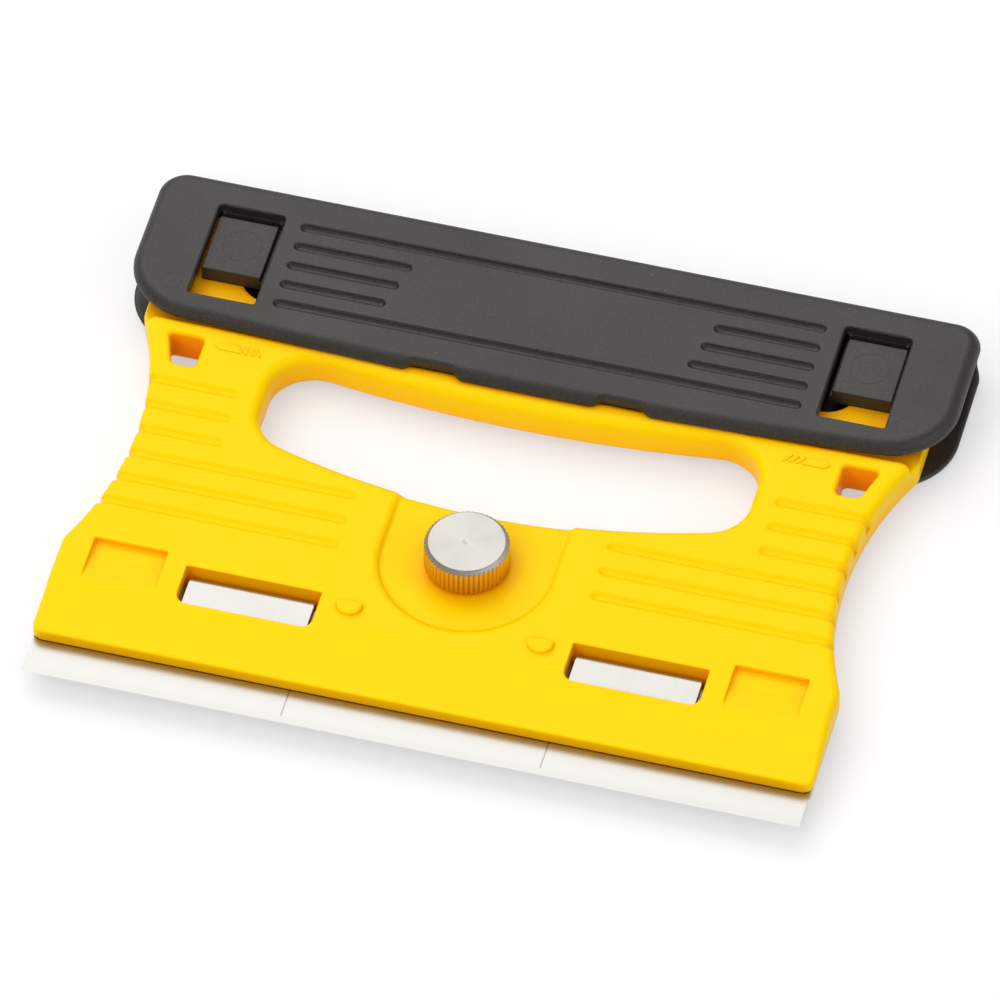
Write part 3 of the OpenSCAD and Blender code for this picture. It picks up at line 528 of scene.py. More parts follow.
def body_field(s, metal):
    """Signed distance to the moulded body"""
    outline = body_outline(s)
    opening = opening_outline(s)
    back_z = BODY_LOW.z - FACE_Z
    nub_top = BODY_HIGH.z - FACE_Z
    hang_lean = (s.hang_high_w - s.hang_low_w) / s.hang_l

    def field(x, y, z):
        ax = np.abs(x)
        face = body_front(s, ax, y, z)
        rail = z - s.rail_front
        back = back_z - z
        side = body_side(s, outline, ax, y, z)
        hole = s.draft * np.abs(z - s.parting_z) - outline_distance(opening, ax, y)
        up_the_slope = np.clip((y - s.lip - s.lip_corner_r) / s.slope_l, 0, 1)
        to_shoulder = np.clip((y - s.shoulder) / s.slope_l + 1, 0, 1)
        front_r = s.lip_edge_r + (s.edge_r - s.lip_edge_r) * up_the_slope
        front_r = front_r + (s.shoulder_r - s.edge_r) * to_shoulder
        plan = rounded_and(y - s.shoulder, side, s.shoulder_corner_r)
        block = rounded_and(face, plan, front_r)
        solid = rounded_or(block, rounded_and(rail, side, s.rail_edge_r), s.small_r)
        solid = np.maximum(solid, rounded_and(back, side, s.back_edge_r))
        front = rounded_or(rounded_and(face, y - s.shoulder, s.shoulder_r), rail, s.small_r)
        solid = np.maximum(solid, rounded_and(front, hole, s.opening_front_r))
        solid = np.maximum(solid, rounded_and(back, hole, s.opening_back_r))

        window_low = s.window_top - s.window_l
        corner_r = np.where(y < window_low + s.window_l / 2, s.window_r, s.small_r)
        window_out = s.window_in + s.window_w
        window = rounded_box(ax, y, (s.window_in, window_low), (window_out, s.window_top), corner_r)
        solid = np.maximum(solid, rounded_cut(front, window, s.small_r))

        outer = (ax - s.hang_in - s.hang_low_w - (y - s.hang_low) * hang_lean) / math.hypot(1, hang_lean)
        across = np.maximum(s.hang_in - ax, outer)
        along = np.maximum(s.hang_low - y, y - s.hang_low - s.hang_l)
        hang = -rounded_and(across, along, s.hang_r)
        solid = np.maximum(solid, rounded_and(front, hang, s.hang_edge_r))
        solid = np.maximum(solid, rounded_and(back, hang, s.hang_edge_r))

        solid = rounded_cut(solid, clamp_room(s, metal, x, y, z), s.small_r / 2)
        guide = np.maximum(np.abs(y - s.guide_y - s.guide_w / 2) - s.guide_w / 2, z - back_z - s.guide_d)
        solid = rounded_cut(solid, guide, s.small_r / 2)

        round_side = np.hypot(ax - s.nub_x, y - s.nub_y + s.nub_cut) - s.nub_r
        nub = rounded_and(round_side, y - s.nub_y, s.soft_r)
        nub = rounded_and(nub, z - nub_top, s.soft_r)
        return rounded_or(solid, np.maximum(nub, s.rail_front - z), s.small_r)

    return field


RIBS = 5
REAR_BOW_PARTS = 40  # the rear lip is nearly straight: the front's bow is divided by this


def cover_field(s):
    """Signed distance to the blade cover"""
    front_outline = cover_outline(s, s.bow)
    rear_outline = cover_outline(s, s.bow / REAR_BOW_PARTS)
    front_z = COVER_HIGH.z - FACE_Z
    rear_z = COVER_LOW.z - FACE_Z
    middle_z = (front_z + rear_z) / 2
    inner_half = (front_z - rear_z) / 2 - s.wall
    spine = COVER_HIGH.y - EDGE_Y - s.wall
    lip = COVER_LOW.y - EDGE_Y
    tongue_low, tongue_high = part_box("right_grip_tongue")
    tongue_rear = tongue_low.z - FACE_Z
    ledge_z = tongue_high.z - FACE_Z - s.root_drop

    def field(x, y, z):
        ax = np.abs(x)
        front_side = outline_distance(front_outline, ax, y)
        rear_side = outline_distance(rear_outline, ax, y)
        front = rounded_and(z - front_z, front_side, s.edge_r)
        solid = np.where(z > middle_z, front, rounded_and(rear_z - z, rear_side, s.edge_r))
        channel = rounded_and(np.abs(z - middle_z) - inner_half, y - spine, s.inner_r)
        solid = rounded_cut(solid, channel, s.mouth_r)

        window_top = s.window_low + s.window_l
        corner_r = np.where(y > s.window_low + s.window_l / 2, s.window_r, s.small_r)
        window_out = s.window_in + s.window_w
        window = rounded_box(ax, y, (s.window_in, s.window_low), (window_out, window_top), corner_r)
        solid = rounded_cut(solid, np.maximum(window, middle_z - z), s.small_r)

        root = rounded_box(ax, y, (tongue_low.x, s.root_end), (tongue_high.x, spine + s.wall / 2), s.small_r)
        root = rounded_and(root, np.maximum(tongue_rear - z, z - ledge_z), s.small_r / 2)
        solid = rounded_or(solid, root, s.small_r / 2)

        for i in range(RIBS):
            groove_y = s.rib_first - i * s.rib_pitch
            short = 0 < i < RIBS - 1
            gap = s.rib_in if short else 0
            shift = (i - RIBS // 2) * s.rib_lean if short else 0
            for x0, x1 in ((-s.rib_out, -gap - shift), (gap - shift, s.rib_out)):
                rib = groove_cut(x0, x1, x, y, z, groove_y, front_z, s.rib_w, s.rib_d)
                solid = rounded_cut(solid, rib, s.small_r)

        deep = lip + s.notch_d
        half = s.notch_w / 2
        flank = (np.abs(ax - s.notch_in - half) - half - (deep - y)) / math.sqrt(2)
        notch = rounded_and(flank, y - deep, s.small_r)
        solid = rounded_cut(solid, np.maximum(notch, middle_z - z), s.mouth_r)

        bead_hw = COVER_HIGH.x - s.low_r
        bead = rounded_box(x, y, (-bead_hw, s.bead_y), (bead_hw, s.bead_y + s.bead_w), s.small_r)
        bead_top = middle_z - inner_half + s.bead_h
        bead = rounded_and(bead, z - bead_top, s.small_r)
        return rounded_or(solid, np.maximum(bead, rear_z + s.wall / 2 - z), s.small_r)

    return field


def plate_field(s, body):
    """Signed distance to the clamp plate: a stamped sheet with two strips bent up as blade stops"""
    low_z, high_z = PLATE_LOW.z - FACE_Z, PLATE_HIGH.z - FACE_Z
    sheet_z = low_z + s.plate_t
    front, top = PLATE_LOW.y - EDGE_Y, PLATE_HIGH.y - EDGE_Y
    hw, tab = PLATE_HIGH.x, body.tab_w / 2
    outer_r = s.stop_r + s.plate_t
    stop_low, stop_high = s.stop_low, body.window_top - s.stop_gap
    stop_in = body.window_in + s.stop_end_gap
    stop_out = body.window_in + body.window_w - s.stop_end_gap

    def field(x, y, z):
        ax = np.abs(x)
        arms = rounded_box(ax, y, (-hw, front - hw), (hw, s.plate_top), body.plate_r)
        outline = np.minimum(arms, rounded_box(ax, y, (-tab, front - hw), (tab, top), body.plate_r))
        outline = np.maximum(outline, front - y)
        foot = rounded_box(ax, y, (stop_in, stop_low), (stop_out, stop_high), s.stop_corner_r)
        bend_r = np.where(y < (stop_low + stop_high) / 2, s.stop_low_r, outer_r)
        outer = rounded_box(y, z, (stop_low, low_z - hw), (stop_high, high_z), bend_r)
        inner_low, inner_high = (stop_low + s.plate_t, low_z - hw), (stop_high - s.plate_t, high_z - s.plate_t)
        inner = rounded_box(y, z, inner_low, inner_high, s.stop_r)
        bridge = rounded_and(np.maximum(outer, low_z - z), foot, s.plate_edge_r / 2)
        sheet = rounded_and(outline, np.maximum(low_z - z, z - sheet_z), s.plate_edge_r)
        bush = np.hypot(x, y - SCREW_Y) - s.bush_neck_r
        sheet = rounded_cut(sheet, bush, s.plate_edge_r / 2)
        sheet = rounded_or(sheet, bridge, s.plate_edge_r)
        under = np.maximum(inner, np.maximum(stop_in - ax, ax - stop_out))
        return rounded_cut(sheet, under, s.plate_edge_r / 2)

    return field


def tongue_field(s, way, low, high):
    """Signed distance to a grip tongue: a flat spring with a raised pad"""
    pad_z = high.z - s.pad_h
    pad_low = low.x + (s.pad_in if way > 0 else 0)
    pad_high = high.x - (s.pad_in if way < 0 else 0)

    def field(x, y, z):
        slab = rounded_box(x, y, (low.x, low.y), (high.x, high.y), s.pad_r)
        slab = rounded_and(slab, np.maximum(low.z - z, z - pad_z), s.pad_r / 2)
        pad = rounded_box(x, y, (pad_low, low.y), (pad_high, high.y - s.pad_in), s.pad_r)
        pad = rounded_and(pad, z - high.z, s.pad_r)
        return rounded_or(slab, np.maximum(pad, low.z - z), s.pad_r / 2)

    return field


# Meshes

CORNERS = [(i, j, k) for i in (0, 1) for j in (0, 1) for k in (0, 1)]
CELL_EDGES = [(a, b) for a in range(8) for b in range(a)
              if sum(p != q for p, q in zip(CORNERS[a], CORNERS[b])) == 1]
RING = ((-1, -1), (0, -1), (0, 0), (-1, 0))
CELLS_BEFORE, CELLS_AFTER = 1.5, 2.5  # room round a shape's box, in cells
STEPS_PER_CELL = 20  # a slope is taken over one such step to each side
LEAST_STEEP = 0.05  # keeps a point from jumping where a distance function is nearly level
FLAT_ANGLE = math.radians(0.12)  # faces that turn less than this are joined
FLAT_BLOCK = 14  # cells along a block that faces aren't joined across, so that none grows long
LARGE_FACE = 3  # a face of more cells than this takes one normal
SHARP_ANGLE = math.radians(38)
JOIN_GAP = MM / 1000
SETTLE_ROUNDS = 4


def surface_net(field, low, high, cell):
    """Points and four-sided faces of the surface where a distance function is zero"""
    axes = [np.arange(low[i] - CELLS_BEFORE * cell, high[i] + CELLS_AFTER * cell, cell) for i in range(3)]
    grid = np.meshgrid(*axes, indexing="ij", sparse=True)
    values = field(*grid)
    inside = values < 0
    n = np.array(values.shape) - 1
    count = np.zeros(n, np.int8)
    for i, j, k in CORNERS:
        count += inside[i:i + n[0], j:j + n[1], k:k + n[2]]
    crossed = (count > 0) & (count < 8)
    cells = np.argwhere(crossed)
    number = np.full(crossed.shape, -1)
    number[crossed] = np.arange(len(cells))

    at_corner = [values[tuple((cells + c).T)] for c in CORNERS]
    total = np.zeros((len(cells), 3))
    hits = np.zeros(len(cells))
    for a, b in CELL_EDGES:
        change = (at_corner[a] < 0) != (at_corner[b] < 0)
        part = at_corner[a][change] / (at_corner[a][change] - at_corner[b][change])
        start, end = np.array(CORNERS[a]), np.array(CORNERS[b])
        total[change] += start + part[:, None] * (end - start)
        hits[change] += 1
    points = (cells + total / hits[:, None]) * cell + [a[0] for a in axes]

    faces = []
    for axis in range(3):
        one, two = (axis + 1) % 3, (axis + 2) % 3
        before = np.take(inside, range(n[axis]), axis)
        after = np.take(inside, range(1, n[axis] + 1), axis)
        for leaving in (True, False):
            edges = np.argwhere(before & ~after if leaving else ~before & after)
            loop = []
            for step_one, step_two in RING if leaving else RING[::-1]:
                beside = edges.copy()
                beside[:, one] += step_one
                beside[:, two] += step_two
                loop.append(number[tuple(beside.T)])
            faces.append(np.stack(loop, 1))
    return points, np.concatenate(faces)


def gradient(field, points, step):
    """Slope of a distance function at points"""
    columns = []
    for axis in range(3):
        shift = np.zeros(3)
        shift[axis] = step
        ahead = field(*(points + shift).T)
        behind = field(*(points - shift).T)
        columns.append((ahead - behind) / (2 * step))
    return np.stack(columns, 1)


def settled(field, points, cell):
    """Points moved onto the surface where a distance function is zero"""
    for _ in range(SETTLE_ROUNDS):
        slope = gradient(field, points, cell / STEPS_PER_CELL)
        steep = np.maximum((slope * slope).sum(1), LEAST_STEEP)
        move = field(*points.T) / steep
        points = points - np.clip(move, -cell / 2, cell / 2)[:, None] * slope
    return points


def linked(name, data):
    """A new object in the scene"""
    made = bpy.data.objects.new(name, data)
    bpy.context.scene.collection.objects.link(made)
    return made


def piece(name, mesh, material, body, node=None):
    """An object that rides on a body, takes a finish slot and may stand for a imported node"""
    made = linked(name, mesh)
    mesh.materials.clear()
    mesh.materials.append(material)
    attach(made, body)
    if node:
        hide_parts(node)
    return made


def read(items, key, kind=float, width=1):
    """One value, or a row of width values, for each item of a mesh"""
    values = np.empty(len(items) * width, kind)
    items.foreach_get(key, values)
    return values.reshape(-1, width) if width > 1 else values


def field_normals(field, points, cell):
    """Normals of a distance function at points"""
    slope = gradient(field, points, cell / STEPS_PER_CELL)
    return slope / np.linalg.norm(slope, axis=1)[:, None]


def moulded_mesh(name, field, low, high, cell):
    """A mesh of a distance function with its flats thinned out and its normals taken from the function"""
    points, faces = surface_net(field, low, high, cell)
    points = settled(field, points, cell)
    mesh = bpy.data.meshes.new(name)
    mesh.from_pydata(points, [], faces)
    block = (points[faces].mean(1) / (FLAT_BLOCK * cell)).astype(int).sum(1) % 2
    mesh.polygons.foreach_set("material_index", block.astype(np.int32))
    thin = bmesh.new()
    thin.from_mesh(mesh)
    bmesh.ops.dissolve_limit(thin, angle_limit=FLAT_ANGLE, verts=thin.verts, edges=thin.edges,
                             delimit={"MATERIAL"})
    bmesh.ops.triangulate(thin, faces=[f for f in thin.faces if len(f.verts) > 4])
    thin.to_mesh(mesh)
    thin.free()
    mesh.polygons.foreach_set("material_index", np.zeros(len(mesh.polygons), np.int32))

    smooth = field_normals(field, read(mesh.vertices, "co", width=3), cell)
    flat = field_normals(field, read(mesh.polygons, "center", width=3), cell)
    corner = read(mesh.loops, "vertex_index", int)
    sides = read(mesh.polygons, "loop_total", int)
    large = np.repeat(read(mesh.polygons, "area") > LARGE_FACE * cell * cell, sides)
    normals = np.where(large[:, None], np.repeat(flat, sides, 0), smooth[corner])

    mesh.transform(placed())
    mesh.shade_smooth()
    mesh.normals_split_custom_set(normals.tolist())
    return mesh


def design_box(low, high):
    """A packed box, counted from the cutting edge and the blade's front face"""
    start = Vector((0, EDGE_Y, FACE_Z))
    return low - start, high - start


def placed():
    """Moves a mesh from the cutting edge and the blade's front face to the part's own frame"""
    return Matrix.Translation((0, EDGE_Y, FACE_Z))


def finished(mesh):
    """A mesh with its seams joined, its faces turned outwards and its place in the part's own frame"""
    joined = bmesh.new()
    joined.from_mesh(mesh)
    bmesh.ops.remove_doubles(joined, verts=joined.verts, dist=JOIN_GAP)
    bmesh.ops.recalc_face_normals(joined, faces=joined.faces)
    joined.to_mesh(mesh)
    joined.free()
    mesh.transform(placed())
    mesh.shade_smooth()
    mesh.set_sharp_from_angle(angle=SHARP_ANGLE)
    return mesh


def lathe_mesh(name, profile, columns, limit=None):
    """A mesh turned about the screw's axis from (radius, height) stations, held inside limit(angle)"""
    column = np.arange(columns)
    angles = column * 2 * math.pi / columns
    rows, faces = [], []
    for radius, height in profile:
        radii = np.full(columns, radius)
        if limit is not None:
            radii = np.minimum(radii, limit(angles))
        heights = np.full(columns, height)
        rows.append(np.stack([radii * np.cos(angles), SCREW_Y + radii * np.sin(angles), heights], 1))
    for row in range(len(profile) - 1):
        here = row * columns + column
        beside = row * columns + (column + 1) % columns
        faces.append(np.stack([here, beside, beside + columns, here + columns], 1))
    mesh = bpy.data.meshes.new(name)
    mesh.from_pydata(np.concatenate(rows), [], np.concatenate(faces))
    return finished(mesh)


def round_corners(corners, r, steps):
    """Points of a closed polygon with its corners rounded by r"""
    points = []
    for i, corner in enumerate(corners):
        here = Vector(corner)
        before = (Vector(corners[i - 1]) - here).normalized()
        after = (Vector(corners[(i + 1) % len(corners)]) - here).normalized()
        half = before.angle(after) / 2
        reach = r / math.tan(half)
        start, end = here + before * reach, here + after * reach
        for k in range(steps + 1):
            t = k / steps
            points.append((1 - t) ** 2 * start + 2 * t * (1 - t) * here + t * t * end)
    return points


def plate_mesh(name, loops, low_z, high_z, edge_r):
    """A flat plate between two heights, with its edges rounded; loops are its outline and its holes"""
    curve = bpy.data.curves.new(name, "CURVE")
    curve.dimensions = "2D"
    curve.fill_mode = "BOTH"
    curve.bevel_depth = edge_r
    curve.bevel_resolution = 2
    curve.offset = -edge_r
    curve.extrude = (high_z - low_z) / 2 - edge_r
    for loop in loops:
        spline = curve.splines.new("POLY")
        spline.points.add(len(loop) - 1)
        for point, place in zip(spline.points, loop):
            point.co = (place[0], place[1], 0, 1)
        spline.use_cyclic_u = True
    carrier = bpy.data.objects.new(name, curve)
    mesh = bpy.data.meshes.new_from_object(carrier)
    bpy.data.objects.remove(carrier)
    bpy.data.curves.remove(curve)
    mesh.name = name
    for vertex in mesh.vertices:
        vertex.co.z += (low_z + high_z) / 2
    return finished(mesh)


# Materials

SPECK_WOBBLE, SPECK_WOBBLE_SCALE = 0.4 * MM, 3000
CELLS_WITH_NO_SPECK = 0.6
CLOUD_RANGE = (0.3, 0.7)  # noise that becomes nought and one
CLOUD_SHADE = 0.985  # share of its lightness that an even colour keeps in its slow changes
GRAIN_RANGE, GRAIN_SHADES = (0.35, 0.65), (0.7, 1.3)
BODY_ROUGHNESS, COVER_ROUGHNESS = (0.3, 0.38), (0.42, 0.5)
SHADE_REACH = 10 * MM  # how near a wall has to be for painted shade to deepen the body's colour
SHADE_OPENNESS = (0.35, 0.9)  # openness at which the painted shade is full and at which it is gone
STREAK_RANGE = (0.12, 0.42)
LINE_BUMP = 0.3
GROUND_SHADE, TURNED_SHADE = 0.97, 0.86  # share of its lightness that a metal keeps between its streaks
SCORE_X = 20 * MM
SCORE_HALF_WIDTH = 0.08 * MM
SCORE_START = 1.2 * MM
SCORE_SHADE = 0.7
SIDE_BLEND = 0.1 * MM
YELLOW_REFLECTION_SHARES = (1.3, 0.9, 0.6)  # shares of a turned piece's colour that give its side a painted reflection of the yellow body round it


def add(tree, kind, links=None, **settings):
    """A node with its settings, and its inputs set or linked"""
    made = tree.nodes.new(kind)
    for key, value in settings.items():
        setattr(made, key, value)
    for key, value in (links or {}).items():
        socket = made.inputs[key]
        if isinstance(value, bpy.types.NodeSocket):
            tree.links.new(value, socket)
        else:
            socket.default_value = value
    return made


def maths(tree, operation, *values):
    """The outcome of a sum, a product or a comparison"""
    return add(tree, "ShaderNodeMath", dict(enumerate(values)), operation=operation).outputs["Value"]


def vector_maths(tree, operation, *values):
    """The outcomes of a sum of vectors, their product or a length"""
    return add(tree, "ShaderNodeVectorMath", dict(enumerate(values)), operation=operation).outputs


def remap(tree, value, start, end, low=0, high=1):
    """A value carried from one range to another"""
    ranges = {"Value": value, "From Min": start, "From Max": end, "To Min": low, "To Max": high}
    return add(tree, "ShaderNodeMapRange", ranges).outputs["Result"]


def noise(tree, place, scale, detail):
    """Cloudy values over a place"""
    return add(tree, "ShaderNodeTexNoise", {"Vector": place, "Scale": scale, "Detail": detail}).outputs["Fac"]


def scaled(colour, share):
    """A colour made lighter or darker"""
    return tuple(share * c for c in colour)


def feed(tree, shader, **values):
    """Links values to a shader's inputs by their names"""
    for key, value in values.items():
        tree.links.new(value, shader.inputs[key.replace("_", " ")])


def shared_effect(name, inputs, draw):
    """A shader group, made on first use; draw(tree, given) gives its outputs by name"""
    tree = bpy.data.node_groups.get(name)
    if tree:
        return tree
    tree = bpy.data.node_groups.new(name, "ShaderNodeTree")
    for label, default in inputs.items():
        kind = "NodeSocketVector" if isinstance(default, tuple) else "NodeSocketFloat"
        tree.interface.new_socket(name=label, in_out="INPUT", socket_type=kind).default_value = default
    results = draw(tree, tree.nodes.new("NodeGroupInput").outputs)
    for label in results:
        tree.interface.new_socket(name=label, in_out="OUTPUT", socket_type="NodeSocketFloat")
    ends = tree.nodes.new("NodeGroupOutput").inputs
    for label, value in results.items():
        tree.links.new(value, ends[label])
    return tree


def moulded_skin():
    """Shared effect: the fine grain of a moulding, and slow changes of its colour and gloss"""
    def draw(tree, given):
        fine = noise(tree, given["Place"], given["Grain"], 3)
        slow = noise(tree, given["Place"], given["Cloud"], 4)
        return {"Height": fine, "Cloud": remap(tree, slow, *CLOUD_RANGE)}

    return shared_effect("Moulded skin", {"Place": (0, 0, 0), "Grain": 4000, "Cloud": 45}, draw)


def dust_specks():
    """Shared effect: a few small specks of dust, as a mask"""
    def draw(tree, given):
        waves = {"Vector": given["Place"], "Scale": SPECK_WOBBLE_SCALE}
        wobble = add(tree, "ShaderNodeTexNoise", waves).outputs["Color"]
        bent = vector_maths(tree, "MULTIPLY", wobble, (SPECK_WOBBLE,) * 3)["Vector"]
        moved = vector_maths(tree, "ADD", given["Place"], bent)["Vector"]
        cells = add(tree, "ShaderNodeTexVoronoi", {"Vector": moved, "Scale": given["Spacing"]}).outputs
        split = add(tree, "ShaderNodeSeparateColor", {"Color": cells["Color"]}).outputs
        reach = maths(tree, "MULTIPLY", split["Red"], given["Radius"])
        near = maths(tree, "LESS_THAN", cells["Distance"], reach)
        chosen = maths(tree, "GREATER_THAN", split["Green"], CELLS_WITH_NO_SPECK)
        return {"Mask": maths(tree, "MULTIPLY", near, chosen)}

    return shared_effect("Dust specks", {"Place": (0, 0, 0), "Spacing": 220, "Radius": 0.04}, draw)


def machined_lines():
    """Shared effect: the fine lines that grinding, rolling or turning leaves, as a height and a streak"""
    def draw(tree, given):
        drawn = vector_maths(tree, "MULTIPLY", given["Place"], given["Stretch"])["Vector"]
        lines = noise(tree, drawn, 1, 3)
        slow = noise(tree, given["Place"], given["Cloud"], 3)
        streak = remap(tree, maths(tree, "MULTIPLY", lines, slow), *STREAK_RANGE)
        return {"Height": lines, "Streak": streak}

    return shared_effect("Machined lines", {"Place": (0, 0, 0), "Stretch": (1, 1, 1), "Cloud": 60}, draw)


def new_material(name, **constants):
    """A material with one Principled shader, whose even values are set on its own sockets"""
    material = bpy.data.materials.new(name)
    material.use_nodes = True
    tree = material.node_tree
    shader = tree.nodes["Principled BSDF"]
    for key, value in constants.items():
        shader.inputs[key.replace("_", " ")].default_value = value
    place = add(tree, "ShaderNodeTexCoord").outputs["Object"]
    return material, tree, shader, place


def use_group(tree, group, **inputs):
    """A group placed in a material with its own values"""
    return add(tree, "ShaderNodeGroup", inputs, node_tree=group).outputs


def colour_between(tree, share, first, second):
    """A colour that changes from first to second with a mask"""
    ends = [c if isinstance(c, bpy.types.NodeSocket) else (*c, 1) for c in (first, second)]
    mix = add(tree, "ShaderNodeMix", {6: ends[0], 7: ends[1]}, data_type="RGBA")
    tree.links.new(share, mix.inputs["Factor"])
    return mix.outputs[2]


def set_bump(tree, shader, height, depth, strength):
    """Links a height to the shader's normal; depth is in metres"""
    bump = add(tree, "ShaderNodeBump", {"Height": height, "Distance": depth, "Strength": strength})
    feed(tree, shader, Normal=bump.outputs["Normal"])


def body_plastic(colours):
    """Satin yellow moulding with painted shade: its hollows, found by ambient occlusion, are painted a deeper
    orange that stands in for the light the plastic tints there
    """
    material, tree, shader, place = new_material("body_plastic", IOR=1.46, Specular_IOR_Level=0.08)
    skin = use_group(tree, moulded_skin(), Place=place, Grain=2600.0, Cloud=38.0)
    # painted shade: the more a point is closed in by walls, the more its colour turns to the deeper orange
    hollow = add(tree, "ShaderNodeAmbientOcclusion", {"Distance": SHADE_REACH}, samples=8).outputs["AO"]
    slow = colour_between(tree, skin["Cloud"], colours.body, scaled(colours.body, CLOUD_SHADE))
    deep = colour_between(tree, remap(tree, hollow, *SHADE_OPENNESS), colours.body_painted_shade, slow)
    feed(tree, shader, Base_Color=deep, Roughness=remap(tree, skin["Cloud"], 0, 1, *BODY_ROUGHNESS))
    set_bump(tree, shader, skin["Height"], depth=0.01 * MM, strength=0.25)
    return material


def cover_plastic(colours):
    """Black moulding with a fine grain and a little dust"""
    material, tree, shader, place = new_material("cover_plastic", IOR=1.5, Specular_IOR_Level=0.5)
    skin = use_group(tree, moulded_skin(), Place=place, Grain=2800.0, Cloud=60.0)
    dust = use_group(tree, dust_specks(), Place=place, Spacing=300.0, Radius=0.05)
    speckle = remap(tree, skin["Height"], *GRAIN_RANGE)
    grain = colour_between(tree, speckle, *(scaled(colours.cover, share) for share in GRAIN_SHADES))
    dusty = colour_between(tree, dust["Mask"], grain, colours.cover_dust)
    feed(tree, shader, Base_Color=dusty, Roughness=remap(tree, skin["Cloud"], 0, 1, *COVER_ROUGHNESS))
    set_bump(tree, shader, skin["Height"], depth=0.02 * MM, strength=1.0)
    return material


def lined_metal(tree, shader, lines, colour, rough, depth):
    """Sets a metal's colour, and its roughness and bump by the lines of its last machining"""
    feed(tree, shader, Base_Color=colour, Roughness=remap(tree, lines["Streak"], 0, 1, *rough))
    set_bump(tree, shader, lines["Height"], depth, LINE_BUMP)


def ground_metal(name, colour, stretch, rough, depth, score_x=None):
    """Bare metal with ground or rolled lines, and with score lines at score_x on each side of the middle"""
    material, tree, shader, place = new_material(name, Metallic=1.0)
    lines = use_group(tree, machined_lines(), Place=place, Stretch=stretch, Cloud=90.0)
    ground = colour_between(tree, lines["Streak"], scaled(colour, GROUND_SHADE), colour)
    if score_x is not None:
        apart = add(tree, "ShaderNodeSeparateXYZ", {"Vector": place}).outputs
        near = maths(tree, "COMPARE", maths(tree, "ABSOLUTE", apart["X"]), score_x, SCORE_HALF_WIDTH)
        above = maths(tree, "GREATER_THAN", apart["Y"], EDGE_Y + SCORE_START)
        line = maths(tree, "MULTIPLY", near, above)
        ground = colour_between(tree, line, ground, scaled(colour, SCORE_SHADE))
    lined_metal(tree, shader, lines, ground, rough, depth)
    return material


def turned_metal(name, colour, rough, depth, side_z):
    """Metal turned about the screw's axis: its lines run round that axis, and below side_z it carries a painted
    reflection of the yellow body round it
    """
    material, tree, shader, place = new_material(name, Metallic=1.0, Anisotropic=0.85)
    grain = add(tree, "ShaderNodeTangent", direction_type="RADIAL", axis="Z")
    feed(tree, shader, Tangent=grain.outputs["Tangent"])
    centred = vector_maths(tree, "ADD", place, (0, -SCREW_Y - EDGE_Y, 0))["Vector"]
    apart = add(tree, "ShaderNodeSeparateXYZ", {"Vector": centred}).outputs
    flat = add(tree, "ShaderNodeCombineXYZ", {"X": apart["X"], "Y": apart["Y"]}).outputs["Vector"]
    radius = vector_maths(tree, "LENGTH", flat)["Value"]
    line = add(tree, "ShaderNodeCombineXYZ", {"X": radius, "Z": apart["Z"]}).outputs["Vector"]
    lines = use_group(tree, machined_lines(), Place=line, Stretch=(7000, 1, 7000), Cloud=400.0)
    # painted reflection: below side_z the metal takes on the yellow of the body that its side mirrors
    painted_reflection = tuple(share * c for share, c in zip(YELLOW_REFLECTION_SHARES, colour))
    turned = colour_between(tree, lines["Streak"], scaled(colour, TURNED_SHADE), colour)
    top = remap(tree, apart["Z"], side_z - SIDE_BLEND, side_z)
    lined_metal(tree, shader, lines, colour_between(tree, top, painted_reflection, turned), rough, depth)
    return material


def finish_for(context, slot, make):
    """A slot's material, made on first use"""
    return bpy.data.materials.get(slot) or make(context.scene.scraper_finishes)


def drop_packed_material(name):
    """Frees a slot's name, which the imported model's own plain material may hold"""
    found = bpy.data.materials.get(name)
    if found:
        found.name = name + ".packed"


# Operators, one for each piece or group of like pieces

ARROW_HEAD, ARROW_BAR, ARROW_STEP = 0.45, 0.07, 0.14  # shares of an arrow's length
ARROW_BARS = 3
ARROW_LEAN = 1.4  # share of half its height
ARROW_CORNER_STEPS = 2


class SCRAPER_OT_body(Operator):
    """Model the moulded body and its raised arrows"""

    bl_idname = "scraper.body"
    bl_label = "Body"

    def execute(self, context):
        s = context.scene.scraper_body
        low, high = design_box(BODY_LOW, BODY_HIGH)
        material = finish_for(context, "body_plastic", body_plastic)
        mesh = moulded_mesh("body_moulding", body_field(s, context.scene.scraper_metal), low, high, s.cell)
        piece("body_moulding", mesh, material, "body", "handle_body")
        for name, way in SIDES.items():
            self.arrow(s, name, way, material)
        return {"FINISHED"}

    def arrow(self, s, name, way, material):
        """A raised arrow that points outwards, behind three slanted bars"""
        half = s.arrow_h / 2
        bar = s.arrow_l * ARROW_BAR
        lean = half * ARROW_LEAN
        tip = s.arrow_in + s.arrow_l
        start = tip - s.arrow_l * ARROW_HEAD
        shapes = [[(start - lean, -half), (tip - half, -half), (tip, 0), (tip - half, half), (start, half)]]
        for i in range(ARROW_BARS):
            x = s.arrow_in + i * (s.arrow_l * ARROW_STEP)
            shapes.append([(x, -half), (x + bar, -half), (x + bar + lean, half), (x + lean, half)])
        for i, corners in enumerate(shapes):
            placed_corners = [(way * x, s.arrow_y + y) for x, y in corners]
            loop = round_corners(placed_corners, bar / 4, ARROW_CORNER_STEPS)
            label = f"{name}_arrow_{'head' if i == 0 else 'bar_%d' % i}"
            mesh = plate_mesh(label, [loop], s.face_h / 2, s.face_h + s.arrow_out, s.arrow_out / 2)
            piece(label, mesh, material, "body")


